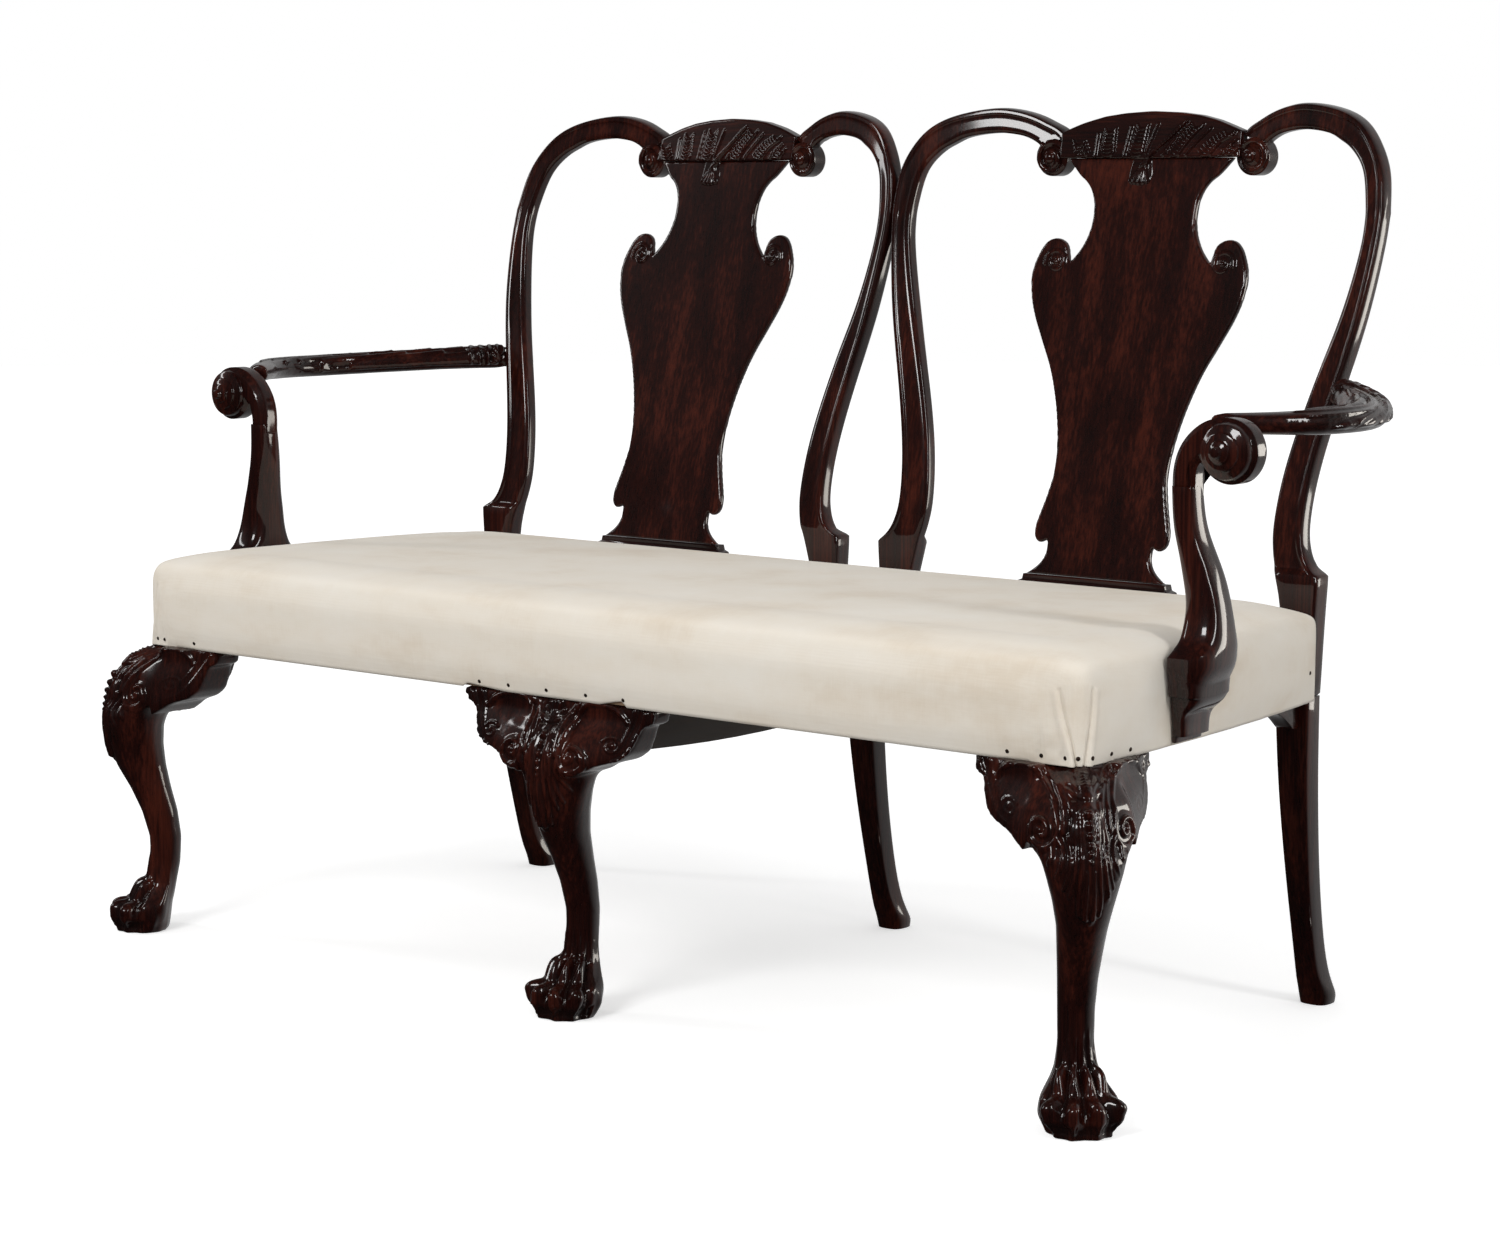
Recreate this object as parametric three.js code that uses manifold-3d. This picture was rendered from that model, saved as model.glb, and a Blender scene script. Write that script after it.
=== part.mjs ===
// A double chair-back settee in carved mahogany with an over-upholstered seat.
// Millimetres, +Z up, +X to the right, the front faces -Y. The origin is on the floor
// under the middle of the settee. Heights are above the floor, and places from front
// to back are measured from the front face of the seat until the whole is centred.
import * as THREE from "three";
import { mergeVertices } from "three/addons/utils/BufferGeometryUtils.js";
import Module from "manifold-3d";

const wasm = await Module();
wasm.setup();

// Clearance between pieces that touch, and the overrun of every cut
const gap = 0.3;
const overrun = 40;

// Seat frame
const railBottom = 358;
const railHeight = 84;
const seatHalfWidth = 694;
const seatTaper = 53.5;
const seatTaperBend = 1.8;
const seatDepth = 556;
const frontRailThickness = 30;
const sideRailThickness = 30;
const sideRailRoom = 1.5;
const rearRailThickness = 34;
const medialRailWidth = 30;
const medialRailDrop = 68;
const medialRailBelly = 10;
const cornerBlockReach = 60;
const cornerBlockHeight = 50;

// Cloth, stuffing and webbing
const clothThickness = 2.5;
const clothCornerRadius = 14;
const seatCrown = 26;
const seatEdgeRound = 60;
const clothRearEdge = 15;
const padRoom = 1;
const webThickness = 2;
const webWidth = 56;
const webEndMargin = 6;

// Front legs
const cornerFootOut = 12.7;
const cornerFootForward = 10;
const middleFootBack = 6;
const legStock = 80;
const postSide = 39.5;
const postChamfer = 9;
const middlePostWidth = 45;
const middleBlockWidth = 85;
const earLength = 85;
const middleEarLength = 98;
const earDrop = 87;
const toeGroove = 4.5;

// Rear legs and their brackets
const rearLegWidth = 44;
const rearFootBack = 64;
const rearFootIn = 4;
const clubFootSide = 37;
const bracketLength = 58;
const bracketDrop = 34;
const bracketThickness = 22;

// Backs: each chair is symmetric about its own centre line
const chairHalfPitch = 334;
const backLean = 12.5;
const shoulderRise = 49;
const backRise = 514.5;
const blockDepth = 30;
const shoulderStep = 2.5;
const stileDepth = 21;
const stileRake = 85;
const stileCurveDepth = 21;
const hoopBow = 40;
const memberRound = 4;
const beadWidth = 9;
const beadRise = 1.8;
const voluteRadius = 22;
const voluteProud = 4;
const crestThickness = 17;
const crestFold = 2.4;

// Splats and shoes
const splatHalfWidth = 145.5;
const splatThickness = 9;
const shoeHalfWidth = 110;
const shoeHeight = 23;
const shoeDepth = 19;
const shoeLip = 5;

// Arms and their supports
const armOverhang = 89;
const armWidth = 40;
const armThickness = 26;
const armRise = 236;
const armRearRise = 9;
const supportPlace = 196;
const supportFootHeight = 360;
const scrollAboveArm = 8;
const socketReach = 40;
const socketHalfLength = 48;
const scrollDepth = 30;
const shaftLean = 8;
const scrollPlace = 193;
const scrollBossReach = 22;
const scrollBevel = 7;

// Heights and places that follow
const railTop = railBottom + railHeight;
const webTop = railTop + gap + webThickness;
const clothRim = webTop + gap + clothThickness;
const seatTop = railTop + seatCrown;
const armOut = seatHalfWidth + armOverhang;
const shoulderHeight = railTop + shoulderRise;
const armHeight = railTop + armRise;
const supportRise = armHeight + scrollAboveArm - supportFootHeight;
const frontRailFace = clothThickness + gap;
const frontRailBack = frontRailFace + frontRailThickness;
const rearRailFace = seatDepth - rearRailThickness;
const blockFace = seatDepth - blockDepth;
const stileFace = blockFace + shoulderStep;

// Tables of shares, each row chosen by hand

// Front leg, from the floor to the knee: height as a share of the underside of the rails,
// then the outer edge, inner edge and half width as shares of the leg's stock, then the
// roundness of the section (2 is round, 1 a diamond, more is square)
const legShares = [
  [0.0, 0.35, -0.45, 0.425, 2.3],
  [0.017, 0.41, -0.475, 0.45, 2.3],
  [0.053, 0.41, -0.5, 0.512, 2.3],
  [0.092, 0.31, -0.52, 0.5, 2.2],
  [0.126, 0.12, -0.56, 0.375, 2.1],
  [0.173, -0.13, -0.6, 0.265, 2],
  [0.237, -0.2, -0.66, 0.229, 2],
  [0.327, -0.19, -0.68, 0.234, 2],
  [0.416, -0.08, -0.63, 0.254, 2],
  [0.497, 0.08, -0.54, 0.285, 2],
  [0.575, 0.275, -0.472, 0.319, 2],
  [0.648, 0.394, -0.44, 0.387, 2],
  [0.715, 0.444, -0.455, 0.47, 1.9],
  [0.757, 0.4475, -0.525, 0.53, 1.7],
];
// The knee above it: height share and outer edge share
const kneeShares = [
  [0.81, 0.425],
  [0.846, 0.384],
  [0.899, 0.269],
  [0.958, 0.0],
  [0.986, -0.225],
];
// Angles round a leg's section, in degrees from the knee, closer together in front
const legAngles = [0, 10, 20, 30, 40, 50, 60, 70, 80, 90, 112, 136, 158];
// Ears: distance from the leg as a share of the length, and drop as a share of the drop
const earShares = [
  [0, 0.95],
  [0.155, 0.86],
  [0.26, 0.79],
  [0.37, 0.75],
  [0.57, 0.69],
  [0.715, 0.575],
  [0.785, 0.41],
  [0.83, 0.24],
  [0.9, 0.22],
  [0.97, 0.2],
  [1, 0.1],
];
// Rear leg: height share, backward share, width share and depth share
const rearLegShares = [
  [1, 0, 1, 1],
  [0.8, 0.05, 0.91, 1],
  [0.62, 0.16, 0.82, 0.97],
  [0.42, 0.33, 0.7, 0.93],
  [0.2, 0.6, 0.62, 0.9],
  [0.1, 0.78, 0.66, 1],
];
const clubFootShares = [
  [0.05, 0.93, 1],
  [0.025, 1, 1.04],
  [0, 1, 0.95],
];
// Stile: half width and height of its far edge, then of its near edge, as shares of the
// half width of a back and of its rise above the shoulder
const blockShares = { bottomFar: 0.9024, bottomNear: 0.7683, topFar: 0.9155, topNear: 0.7926 };
const blockTopShare = -0.0836;
const shoulderShares = [0.9247, 0, 0.7527, 0];
const stileShares = [
  [0.8879, 0.0146, 0.7419, 0.0146],
  [0.8602, 0.0389, 0.7312, 0.0389],
  [0.8372, 0.0972, 0.7195, 0.0972],
  [0.8571, 0.2371, 0.7435, 0.2371],
  [0.9263, 0.4257, 0.8233, 0.4257],
  [0.9677, 0.5442, 0.8777, 0.5442],
  [0.9969, 0.6939, 0.925, 0.6939],
  [1, 0.76, 0.9263, 0.76],
];
const hoopShares = [
  [1, 0.76, 0.9263, 0.76],
  [0.98, 0.8533, 0.894, 0.8552],
  [0.9217, 0.9213, 0.8295, 0.9009],
  [0.8633, 0.9582, 0.7865, 0.9164],
  [0.7773, 0.9835, 0.7373, 0.932],
  [0.6237, 1, 0.6237, 0.9417],
  [0.5376, 0.9932, 0.5622, 0.9388],
  [0.4731, 0.9806, 0.5161, 0.933],
  [0.4209, 0.964, 0.4823, 0.9232],
  [0.381, 0.9504, 0.4608, 0.9135],
  [0.3564, 0.9349, 0.4485, 0.9018],
];
const volutePlaceShares = { across: 0.4071, height: 0.8834 };
const crestBottomShare = 0.8824;
// Crest: half width share and height share along its arched top
const crestShares = [
  [0, 0.9864],
  [0.1, 0.9835],
  [0.187, 0.9767],
  [0.267, 0.964],
  [0.333, 0.9445],
];
// The back leans in above its waist, and the outer edge stands further back
const waistShare = 0.2216;
const splayShares = { low: 0.016, high: 0.05 };
const bowReachShares = { start: 0.95, span: 0.55, bend: 1.2, low: 0.42, high: 0.61 };
// Splat: half width and height, as shares of its half width and height, from the top
const splatNeckShares = [
  [0.756, 1],
  [0.646, 0.962],
  [0.522, 0.927],
  [0.471, 0.858],
  [0.543, 0.787],
  [0.66, 0.745],
];
const splatEarShares = [
  [0.66, 0.745],
  [0.701, 0.791],
  [0.797, 0.806],
  [0.893, 0.795],
  [1, 0.72],
  [0.942, 0.628],
  [0.718, 0.495],
  [0.581, 0.374],
  [0.529, 0.246],
  [0.605, 0.144],
  [0.632, 0.109],
  [0.612, 0.084],
  [0.564, 0.075],
  [0.495, 0.084],
];
const splatFootShares = [
  [0.495, 0.084],
  [0.488, 0.061],
  [0.509, 0.038],
  [0.577, 0.015],
  [0.66, 0],
];
// Shoe: height share, half width share and depth share, from the rail up
const shoeShares = [
  [0, 1, 1],
  [0.42, 1, 1],
  [0.5, 0.965, 0.93],
  [0.62, 0.955, 0.9],
  [0.72, 0.9, 0.82],
  [1, 0.885, 0.8],
];
// Arm, from its support to the stile: outward share and backward share
const armShares = [
  [0.54, 0],
  [0.828, 0.133],
  [0.96, 0.237],
  [1, 0.357],
  [0.934, 0.49],
  [0.748, 0.632],
  [0.47, 0.779],
  [0.212, 0.899],
  [0, 1],
];
const armEndShares = { frontWidth: 0.8, frontHeight: 0.84, rearHeight: 1.12 };
// Arm support: height share, inner and outer edge as shares of the socket's reach, half
// length as a share of the socket's, backward lean share, and roundness inside and outside
const supportShares = [
  [0, 0, 0.13, 0.58, 0, 9, 5],
  [0.018, 0, 0.16, 0.58, 0, 9, 5],
  [0.021, 0, 0.4, 0.6, 0, 9, 4],
  [0.064, 0, 0.4, 0.63, 0, 9, 4],
  [0.089, 0, 0.45, 0.665, 0, 9, 4],
  [0.12, 0, 0.8, 0.73, 0, 9, 4],
  [0.144, 0, 0.9, 0.76, 0, 9, 4],
  [0.149, 0, 0.9, 0.85, 0, 9, 4],
  [0.187, 0, 0.92, 0.87, 0, 9, 4],
  [0.193, 0, 0.96, 0.88, 0, 9, 3],
  [0.215, 0, 1.08, 0.93, 0, 9, 2.6],
  [0.239, 0, 1.16, 0.97, 0, 9, 2.6],
  [0.27, 0, 1.18, 0.97, 0, 9, 2.6],
  [0.294, 0, 1.2, 0.82, 0.4, 6, 2.8],
  [0.316, 0, 1.2, 0.68, 0.8, 4, 2.8],
  [0.383, 0, 1.12, 0.54, 1, 2.8, 2.8],
  [0.445, 0, 1.02, 0.5, 1, 2.8, 2.8],
  [0.506, -0.06, 0.86, 0.47, 0.7, 2.8, 2.8],
  [0.567, -0.12, 0.68, 0.44, 0.38, 2.8, 2.8],
  [0.629, -0.225, 0.49, 0.41, 0, 2.8, 2.8],
  [0.69, -0.29, 0.39, 0.38, -0.3, 2.8, 2.8],
  [0.785, -0.3, 0.36, 0.34, -0.6, 2.8, 2.8],
];
// Head of the support, seen from the front: outward share and height share
const scrollShares = [
  [-0.3, 0.752],
  [-0.315, 0.807],
  [-0.265, 0.856],
  [-0.115, 0.905],
  [0.16, 0.948],
  [0.535, 0.982],
  [0.935, 0.998],
  [1.335, 1],
  [1.71, 0.988],
  [1.985, 0.96],
  [2.135, 0.92],
  [2.145, 0.885],
  [2.035, 0.847],
  [1.785, 0.813],
  [1.435, 0.798],
  [1.06, 0.804],
  [0.735, 0.828],
  [0.535, 0.862],
  [0.395, 0.844],
  [0.36, 0.807],
  [0.35, 0.752],
];
const scrollEyeShares = { out: 1.325, height: 0.899 };
const bossShares = [
  [0.73, 0],
  [0.7, 0.15],
  [0.5, 0.3],
  [0.48, 0.42],
  [0.3, 0.52],
  [0.28, 0.66],
  [0.16, 0.76],
  [0.12, 0.95],
];

// Materials
const mahogany = new THREE.MeshStandardMaterial({ color: 0x3a1410, roughness: 0.3, metalness: 0 });
const frameWood = new THREE.MeshStandardMaterial({ color: 0xa9825a, roughness: 0.7, metalness: 0 });
const calico = new THREE.MeshStandardMaterial({ color: 0xe8dcc8, roughness: 0.9, metalness: 0 });
const jute = new THREE.MeshStandardMaterial({ color: 0x9c8560, roughness: 0.95, metalness: 0 });
const hair = new THREE.MeshStandardMaterial({ color: 0x6b5540, roughness: 1, metalness: 0 });

const settee = new THREE.Group();

// Adds one piece under its own name.
function piece(name, geometry, material) {
  const mesh = new THREE.Mesh(geometry, material);
  mesh.name = name;
  settee.add(mesh);
}

// A closed skin through rings of points, with both ends closed by a fan round their middle.
function loft(rings) {
  const count = rings[0].length;
  const points = rings.flat();
  const index = [];
  const at = (ring, i) => ring * count + (i % count);
  for (let r = 0; r < rings.length - 1; r++) {
    for (let i = 0; i < count; i++) {
      index.push(at(r, i), at(r, i + 1), at(r + 1, i + 1));
      index.push(at(r, i), at(r + 1, i + 1), at(r + 1, i));
    }
  }
  for (const r of [0, rings.length - 1]) {
    const middle = points.length;
    const sum = rings[r].reduce((total, p) => total.add(p), new THREE.Vector3());
    points.push(sum.divideScalar(count));
    for (let i = 0; i < count; i++) {
      if (r === 0) index.push(at(r, i + 1), at(r, i), middle);
      else index.push(at(r, i), at(r, i + 1), middle);
    }
  }
  const geometry = new THREE.BufferGeometry().setFromPoints(points);
  geometry.setIndex(index);
  return facingOut(geometry);
}

// The same closed geometry with its faces pointing out.
function facingOut(geometry) {
  const place = geometry.attributes.position;
  const index = geometry.index.array;
  const [a, b, c] = [new THREE.Vector3(), new THREE.Vector3(), new THREE.Vector3()];
  let volume = 0;
  for (let i = 0; i < index.length; i += 3) {
    a.fromBufferAttribute(place, index[i]);
    b.fromBufferAttribute(place, index[i + 1]);
    c.fromBufferAttribute(place, index[i + 2]);
    volume += a.dot(b.cross(c));
  }
  if (volume < 0) {
    for (let i = 0; i < index.length; i += 3) {
      [index[i + 1], index[i + 2]] = [index[i + 2], index[i + 1]];
    }
  }
  return geometry;
}

// Only positions, with shared vertices merged.
function bare(geometry) {
  const copy = geometry.clone();
  copy.deleteAttribute("normal");
  copy.deleteAttribute("uv");
  return mergeVertices(copy);
}

function solid(geometry) {
  const clean = bare(geometry);
  return new wasm.Manifold(
    new wasm.Mesh({
      numProp: 3,
      vertProperties: new Float32Array(clean.attributes.position.array),
      triVerts: new Uint32Array(clean.index.array),
    }),
  );
}

function geometryOf(body) {
  const mesh = body.getMesh();
  const geometry = new THREE.BufferGeometry();
  geometry.setAttribute("position", new THREE.BufferAttribute(mesh.vertProperties, mesh.numProp));
  geometry.setIndex(new THREE.BufferAttribute(mesh.triVerts, 1));
  return geometry;
}

function box(left, right, front, back, bottom, top) {
  const geometry = new THREE.BoxGeometry(right - left, back - front, top - bottom);
  return geometry.translate((left + right) / 2, (front + back) / 2, (bottom + top) / 2);
}

// A plan outline raised from one height to another.
function prism(outline, bottom, top) {
  const shape = new THREE.Shape(outline);
  const settings = { depth: top - bottom, bevelEnabled: false };
  return facingOut(bare(new THREE.ExtrudeGeometry(shape, settings).translate(0, 0, bottom)));
}

// A front outline (x and height) running from one place to another, front to back.
function slab(outline, front, back) {
  const shape = new THREE.Shape(outline);
  const settings = { depth: back - front, bevelEnabled: false };
  const geometry = new THREE.ExtrudeGeometry(shape, settings);
  return facingOut(bare(geometry.rotateX(Math.PI / 2).translate(0, back, 0)));
}

// A smooth line through a table's points, sampled with so many steps.
function smoothLine(points, steps) {
  const curve = new THREE.CatmullRomCurve3(points.map(([x, y]) => new THREE.Vector3(x, y, 0)));
  return curve.getPoints(steps).map((p) => new THREE.Vector2(p.x, p.y));
}

// The value at a place between the rows of a table that climbs by its first column.
function between(rows, place, column) {
  const next = rows.findIndex((row) => row[0] >= place);
  if (next <= 0) return rows[next === 0 ? 0 : rows.length - 1][column];
  const [low, high] = [rows[next - 1], rows[next]];
  return THREE.MathUtils.mapLinear(place, low[0], high[0], low[column], high[column]);
}

// One point of a section that is round at 2, square above it and a diamond at 1.
function roundness(angle, power) {
  const reach = (value) => Math.sign(value) * Math.abs(value) ** (2 / power);
  return [reach(Math.cos(angle)), reach(Math.sin(angle))];
}

// The side of the cloth at a place behind the seat's front.
function clothSide(back) {
  return seatHalfWidth - seatTaper * (Math.max(0, back) / blockFace) ** seatTaperBend;
}

// Front legs. A leg faces along its turn, out and along are measured from its foot.
function legPoint(foot, turn, out, along, height) {
  const x = foot.x + out * Math.sin(turn) + along * Math.cos(turn);
  const y = foot.y - out * Math.cos(turn) + along * Math.sin(turn);
  return new THREE.Vector3(x, y, height);
}

function legRing(foot, turn, height, outer, inner, half, power, groove) {
  const angles = legAngles.map((degrees) => THREE.MathUtils.degToRad(degrees));
  const around = [...angles, Math.PI, ...angles.slice(1).reverse().map((angle) => -angle)];
  const [middle, reach] = [(outer + inner) / 2, (outer - inner) / 2];
  return around.map((angle) => {
    const [ahead, aside] = roundness(angle, power);
    const front = Math.abs(angle) < Math.PI / 2;
    const cut = front ? (groove * (1 + Math.cos(9 * angle))) / 2 : 0;
    const out = middle + ahead * reach - cut * Math.cos(angle);
    return legPoint(foot, turn, out, aside * half - cut * Math.sin(angle), height);
  });
}

function lowerLegRings(foot, turn) {
  return legShares.map(([height, outer, inner, half, power]) => {
    const groove = height < legShares[4][0] ? toeGroove : 0;
    const sizes = [outer, inner, half].map((share) => share * legStock);
    return legRing(foot, turn, height * railBottom, ...sizes, power, groove);
  });
}

// A corner leg's knee is a square block set cornerwise, cut back to a square post.
const cornerFoot = new THREE.Vector2(seatHalfWidth + cornerFootOut, -cornerFootForward);
const cornerInner = -legStock;
const postOuter = cornerInner + postSide * Math.SQRT2;

function cornerLeg(side) {
  const foot = new THREE.Vector2(side * cornerFoot.x, cornerFoot.y);
  const turn = (side * Math.PI) / 4;
  const square = (height, outer) => {
    const half = (outer - cornerInner) / 2;
    return legRing(foot, turn, height, outer, cornerInner, half, 1, 0);
  };
  const knee = kneeShares.map(([height, outer]) => square(height * railBottom, outer * legStock));
  // The post's front edge is taken off where the cloth bends round it.
  const post = [railBottom, railTop].map((height) => {
    const tip = legPoint(foot, turn, postOuter - postChamfer, 0, height);
    const ahead = new THREE.Vector3(Math.sin(turn), -Math.cos(turn), 0);
    const cut = new THREE.Plane().setFromNormalAndCoplanarPoint(ahead, tip);
    const beyond = (p) => Math.max(0, cut.distanceToPoint(p));
    return square(height, postOuter).map((p) => p.addScaledVector(ahead, -beyond(p)));
  });
  return loft([...lowerLegRings(foot, turn), ...knee, ...post]);
}

// The middle leg faces the front, and its post stands between the two front rails.
const middleFoot = new THREE.Vector2(0, middleFootBack);
const middlePostOuter = middleFootBack - frontRailFace;
const middlePostInner = middlePostOuter - middlePostWidth;

function middleLeg() {
  const half = middleBlockWidth / 2;
  const square = 6;
  const knee = kneeShares.map(([height, share]) => {
    const outer = Math.max(share * legStock, middlePostOuter);
    return legRing(middleFoot, 0, height * railBottom, outer, middlePostInner, half, square, 0);
  });
  const top = railBottom - gap;
  const post = [half, middlePostWidth / 2].map((width) =>
    legRing(middleFoot, 0, top, middlePostOuter, middlePostInner, width, square, 0),
  );
  const end = legRing(
    middleFoot, 0, railTop, middlePostOuter, middlePostInner, middlePostWidth / 2, square, 0,
  );
  return loft([...lowerLegRings(middleFoot, 0), ...knee, ...post, end]);
}

piece("front_leg_left", cornerLeg(-1), mahogany);
piece("front_leg_middle", middleLeg(), mahogany);
piece("front_leg_right", cornerLeg(1), mahogany);

// Ears: blocks with a scrolled outline, bulging next to the knee and flat at the tip.
// place(distance, bulge) gives a point's x and y at a distance from the leg's block.
const kneeFrontRows = [...legShares.slice(-1), ...kneeShares, [1, 0]].map(([height, outer]) => [
  height,
  outer,
]);

function ear(length, faceOf, place) {
  const levels = [0, 0.25, 0.5, 0.75, 1];
  const top = railBottom - gap;
  const rings = earShares.map(([far, dropShare]) => {
    const distance = far * length;
    const fade = 1 - 0.8 * far;
    const front = levels.map((level) => {
      const height = top - level * dropShare * earDrop;
      const bulge = Math.max(0, faceOf(height)) * fade;
      return new THREE.Vector3(...place(distance, bulge), height);
    });
    const bottom = top - dropShare * earDrop;
    const back = [bottom, top].map(
      (height) => new THREE.Vector3(...place(distance, -frontRailThickness), height),
    );
    return [...front, ...back];
  });
  return loft(rings);
}

// How far the knee stands proud of the rails at a height, for both kinds of leg
function kneeOut(height) {
  return between(kneeFrontRows, height / railBottom, 1) * legStock;
}
const cornerBlockFace = cornerFoot.x + cornerInner * Math.SQRT1_2;
const cornerBlockBack = cornerFoot.y - cornerInner * Math.SQRT1_2;
const cornerProud = (height) => kneeOut(height) * Math.SQRT1_2 - cornerFoot.y + frontRailFace;
const middleProud = (height) => kneeOut(height) - middleFoot.y + frontRailFace;

for (const [side, label] of [[-1, "left"], [1, "right"]]) {
  const front = (distance, bulge) => [
    side * (cornerBlockFace - gap - distance),
    frontRailFace - bulge,
  ];
  const lateral = (distance, bulge) => {
    const back = cornerBlockBack + gap + distance;
    return [side * (clothSide(back) - frontRailFace + bulge), back];
  };
  piece(`knee_ear_${label}_front`, ear(earLength, cornerProud, front), mahogany);
  piece(`knee_ear_${label}_side`, ear(earLength, cornerProud, lateral), mahogany);
  const middle = (distance, bulge) => [
    side * (middleBlockWidth / 2 + gap + distance),
    frontRailFace - bulge,
  ];
  piece(`knee_ear_middle_${label}`, ear(middleEarLength, middleProud, middle), mahogany);
}

// Backs. The near edge of a member faces the splat, the far edge faces away from it.
// hand is 1 for the outer stile and hoop of a chair, -1 for the inner ones.
const rise = (share) => shoulderHeight + share * backRise;
const shareOf = (height) => (height - shoulderHeight) / backRise;
const above = (height) => Math.max(0, shareOf(height) - waistShare) / (1 - waistShare);
const centreLine = (height) => chairHalfPitch - backLean * above(height) ** 2;
const splay = (height) => splayShares.low + splayShares.high * above(height) ** 2;
const touchHeight = rise(stileShares.at(-1)[1]);
const backHalfWidth = centreLine(touchHeight) - gap / 2;

function memberFace(across, height) {
  const share = shareOf(height);
  const straight = stileFace + stileRake * share + stileCurveDepth * Math.abs(share) * share;
  const reach = bowReachShares.start - Math.abs(across) / backHalfWidth;
  const bow = Math.max(0, reach / bowReachShares.span) ** bowReachShares.bend;
  const blend = THREE.MathUtils.smoothstep(share, bowReachShares.low, bowReachShares.high);
  return straight + splay(height) * across + hoopBow * bow * blend;
}

// A point on a chair's back: side picks the chair, across is outwards from its centre line.
function backPoint(side, across, height, face) {
  return new THREE.Vector3(side * (centreLine(height) + across), face, height);
}

// The section of a stile or hoop: places across it from the near edge, and depths.
function memberSection(width, depth, bead) {
  const lip = width - beadWidth;
  return [
    [0, memberRound],
    [memberRound, 0],
    [lip, 0],
    [lip + beadWidth / 4, -bead],
    [width - beadWidth / 4, -bead],
    [width, beadWidth / 3],
    [width, depth - memberRound],
    [width - memberRound, depth],
    [memberRound, depth],
    [0, depth - memberRound],
  ];
}

function memberRing(side, hand, [farX, farZ, nearX, nearZ], lead, depth, bead) {
  const near = new THREE.Vector2(nearX, nearZ);
  const far = new THREE.Vector2(farX, farZ);
  const width = near.distanceTo(far);
  return memberSection(width, depth, bead).map(([across, behind]) => {
    const spot = near.clone().lerp(far, across / width);
    const face = memberFace(hand * spot.x, spot.y) + lead + behind;
    return backPoint(side, hand * spot.x, spot.y, face);
  });
}

const memberSizes = ([farX, farZ, nearX, nearZ]) => [
  farX * backHalfWidth,
  rise(farZ),
  nearX * backHalfWidth,
  rise(nearZ),
];

// Rows between the hand-chosen ones, on smooth curves through both edges.
function smoothRows(rows, steps) {
  const sizes = rows.map(memberSizes);
  const far = smoothLine(sizes.map(([x, z]) => [x, z]), steps);
  const near = smoothLine(sizes.map(([, , x, z]) => [x, z]), steps);
  return far.map((point, i) => [point.x, point.y, near[i].x, near[i].y]);
}
const stileRows = smoothRows(stileShares, 14);
const hoopRows = smoothRows(hoopShares, 22);

// The square block at the foot of a stile keeps its front face flat down to the rail.
function blockRing(side, hand, far, near, height) {
  const row = [far * backHalfWidth, height, near * backHalfWidth, height];
  const ring = memberRing(side, hand, row, 0, blockDepth, 0);
  const front = Math.min(...ring.map((p) => p.y));
  ring.forEach((p) => (p.y += blockFace - front));
  return ring.map((p) => new THREE.Vector3(p.x, Math.min(p.y, seatDepth), p.z));
}

// The foot of a stile with room round it, to cut the cloth by
function blockClearance(side, hand) {
  const room = gap / backHalfWidth;
  const { topFar, topNear } = blockShares;
  const rings = [
    blockRing(side, hand, topFar + room, topNear - room, railTop - gap),
    blockRing(side, hand, shoulderShares[0] + room, shoulderShares[2] - room, shoulderHeight),
  ];
  return loft(rings).translate(0, -gap, 0);
}

function stile(side, hand) {
  const rings = [];
  const { bottomFar, bottomNear, topFar, topNear } = blockShares;
  if (hand > 0) rings.push(blockRing(side, hand, bottomFar, bottomNear, railBottom + gap));
  const foot = hand > 0 ? rise(blockTopShare) : railTop + gap;
  rings.push(blockRing(side, hand, topFar, topNear, foot));
  rings.push(blockRing(side, hand, shoulderShares[0], shoulderShares[2], shoulderHeight));
  const joint = stileRows.length - 1;
  stileRows.forEach((row, i) => {
    const drop = i === joint ? gap / 2 : 0;
    const lowered = [row[0], row[1] - drop, row[2], row[3] - drop];
    rings.push(memberRing(side, hand, lowered, 0, stileDepth, beadRise));
  });
  return loft(rings);
}

// A hoop curls over the shoulder of a back and ends in a turned scroll beside the crest.
const voluteAcross = volutePlaceShares.across * backHalfWidth;
const voluteHeight = rise(volutePlaceShares.height);

function volute(side, hand) {
  const depth = stileDepth + 2 * voluteProud;
  const profile = [
    [0, depth],
    [voluteRadius * 0.9, depth],
    [voluteRadius, depth * 0.9],
    [voluteRadius, depth * 0.2],
    [voluteRadius * 0.82, depth * 0.1],
    [voluteRadius * 0.62, depth * 0.2],
    [voluteRadius * 0.5, depth * 0.1],
    [voluteRadius * 0.3, 0],
    [0, -voluteProud / 2],
  ];
  const points = profile.map(([radius, back]) => new THREE.Vector2(radius, back));
  const boss = new THREE.LatheGeometry(points, 16);
  const across = hand * voluteAcross;
  const centre = backPoint(side, across, voluteHeight, memberFace(across, voluteHeight));
  boss.translate(centre.x, centre.y - voluteProud, centre.z);
  return facingOut(bare(boss));
}

function hoop(side, hand) {
  const rings = hoopRows.map((row, i) => {
    const lift = i === 0 ? gap / 2 : 0;
    const raised = [row[0], row[1] + lift, row[2], row[3] + lift];
    return memberRing(side, hand, raised, 0, stileDepth, beadRise);
  });
  return geometryOf(solid(loft(rings)).add(solid(volute(side, hand))));
}

// Splats are flat boards between the shoe and the crest, raked to meet the scrolls.
const shoeFace = seatDepth - shoeDepth;
const splatFoot = railTop + shoeHeight + gap;
const crestFoot = rise(crestBottomShare);
const splatFaceLow = shoeFace + shoeLip;
const splatFaceHigh = memberFace(voluteAcross, crestFoot) - splay(crestFoot) * voluteAcross;

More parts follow.
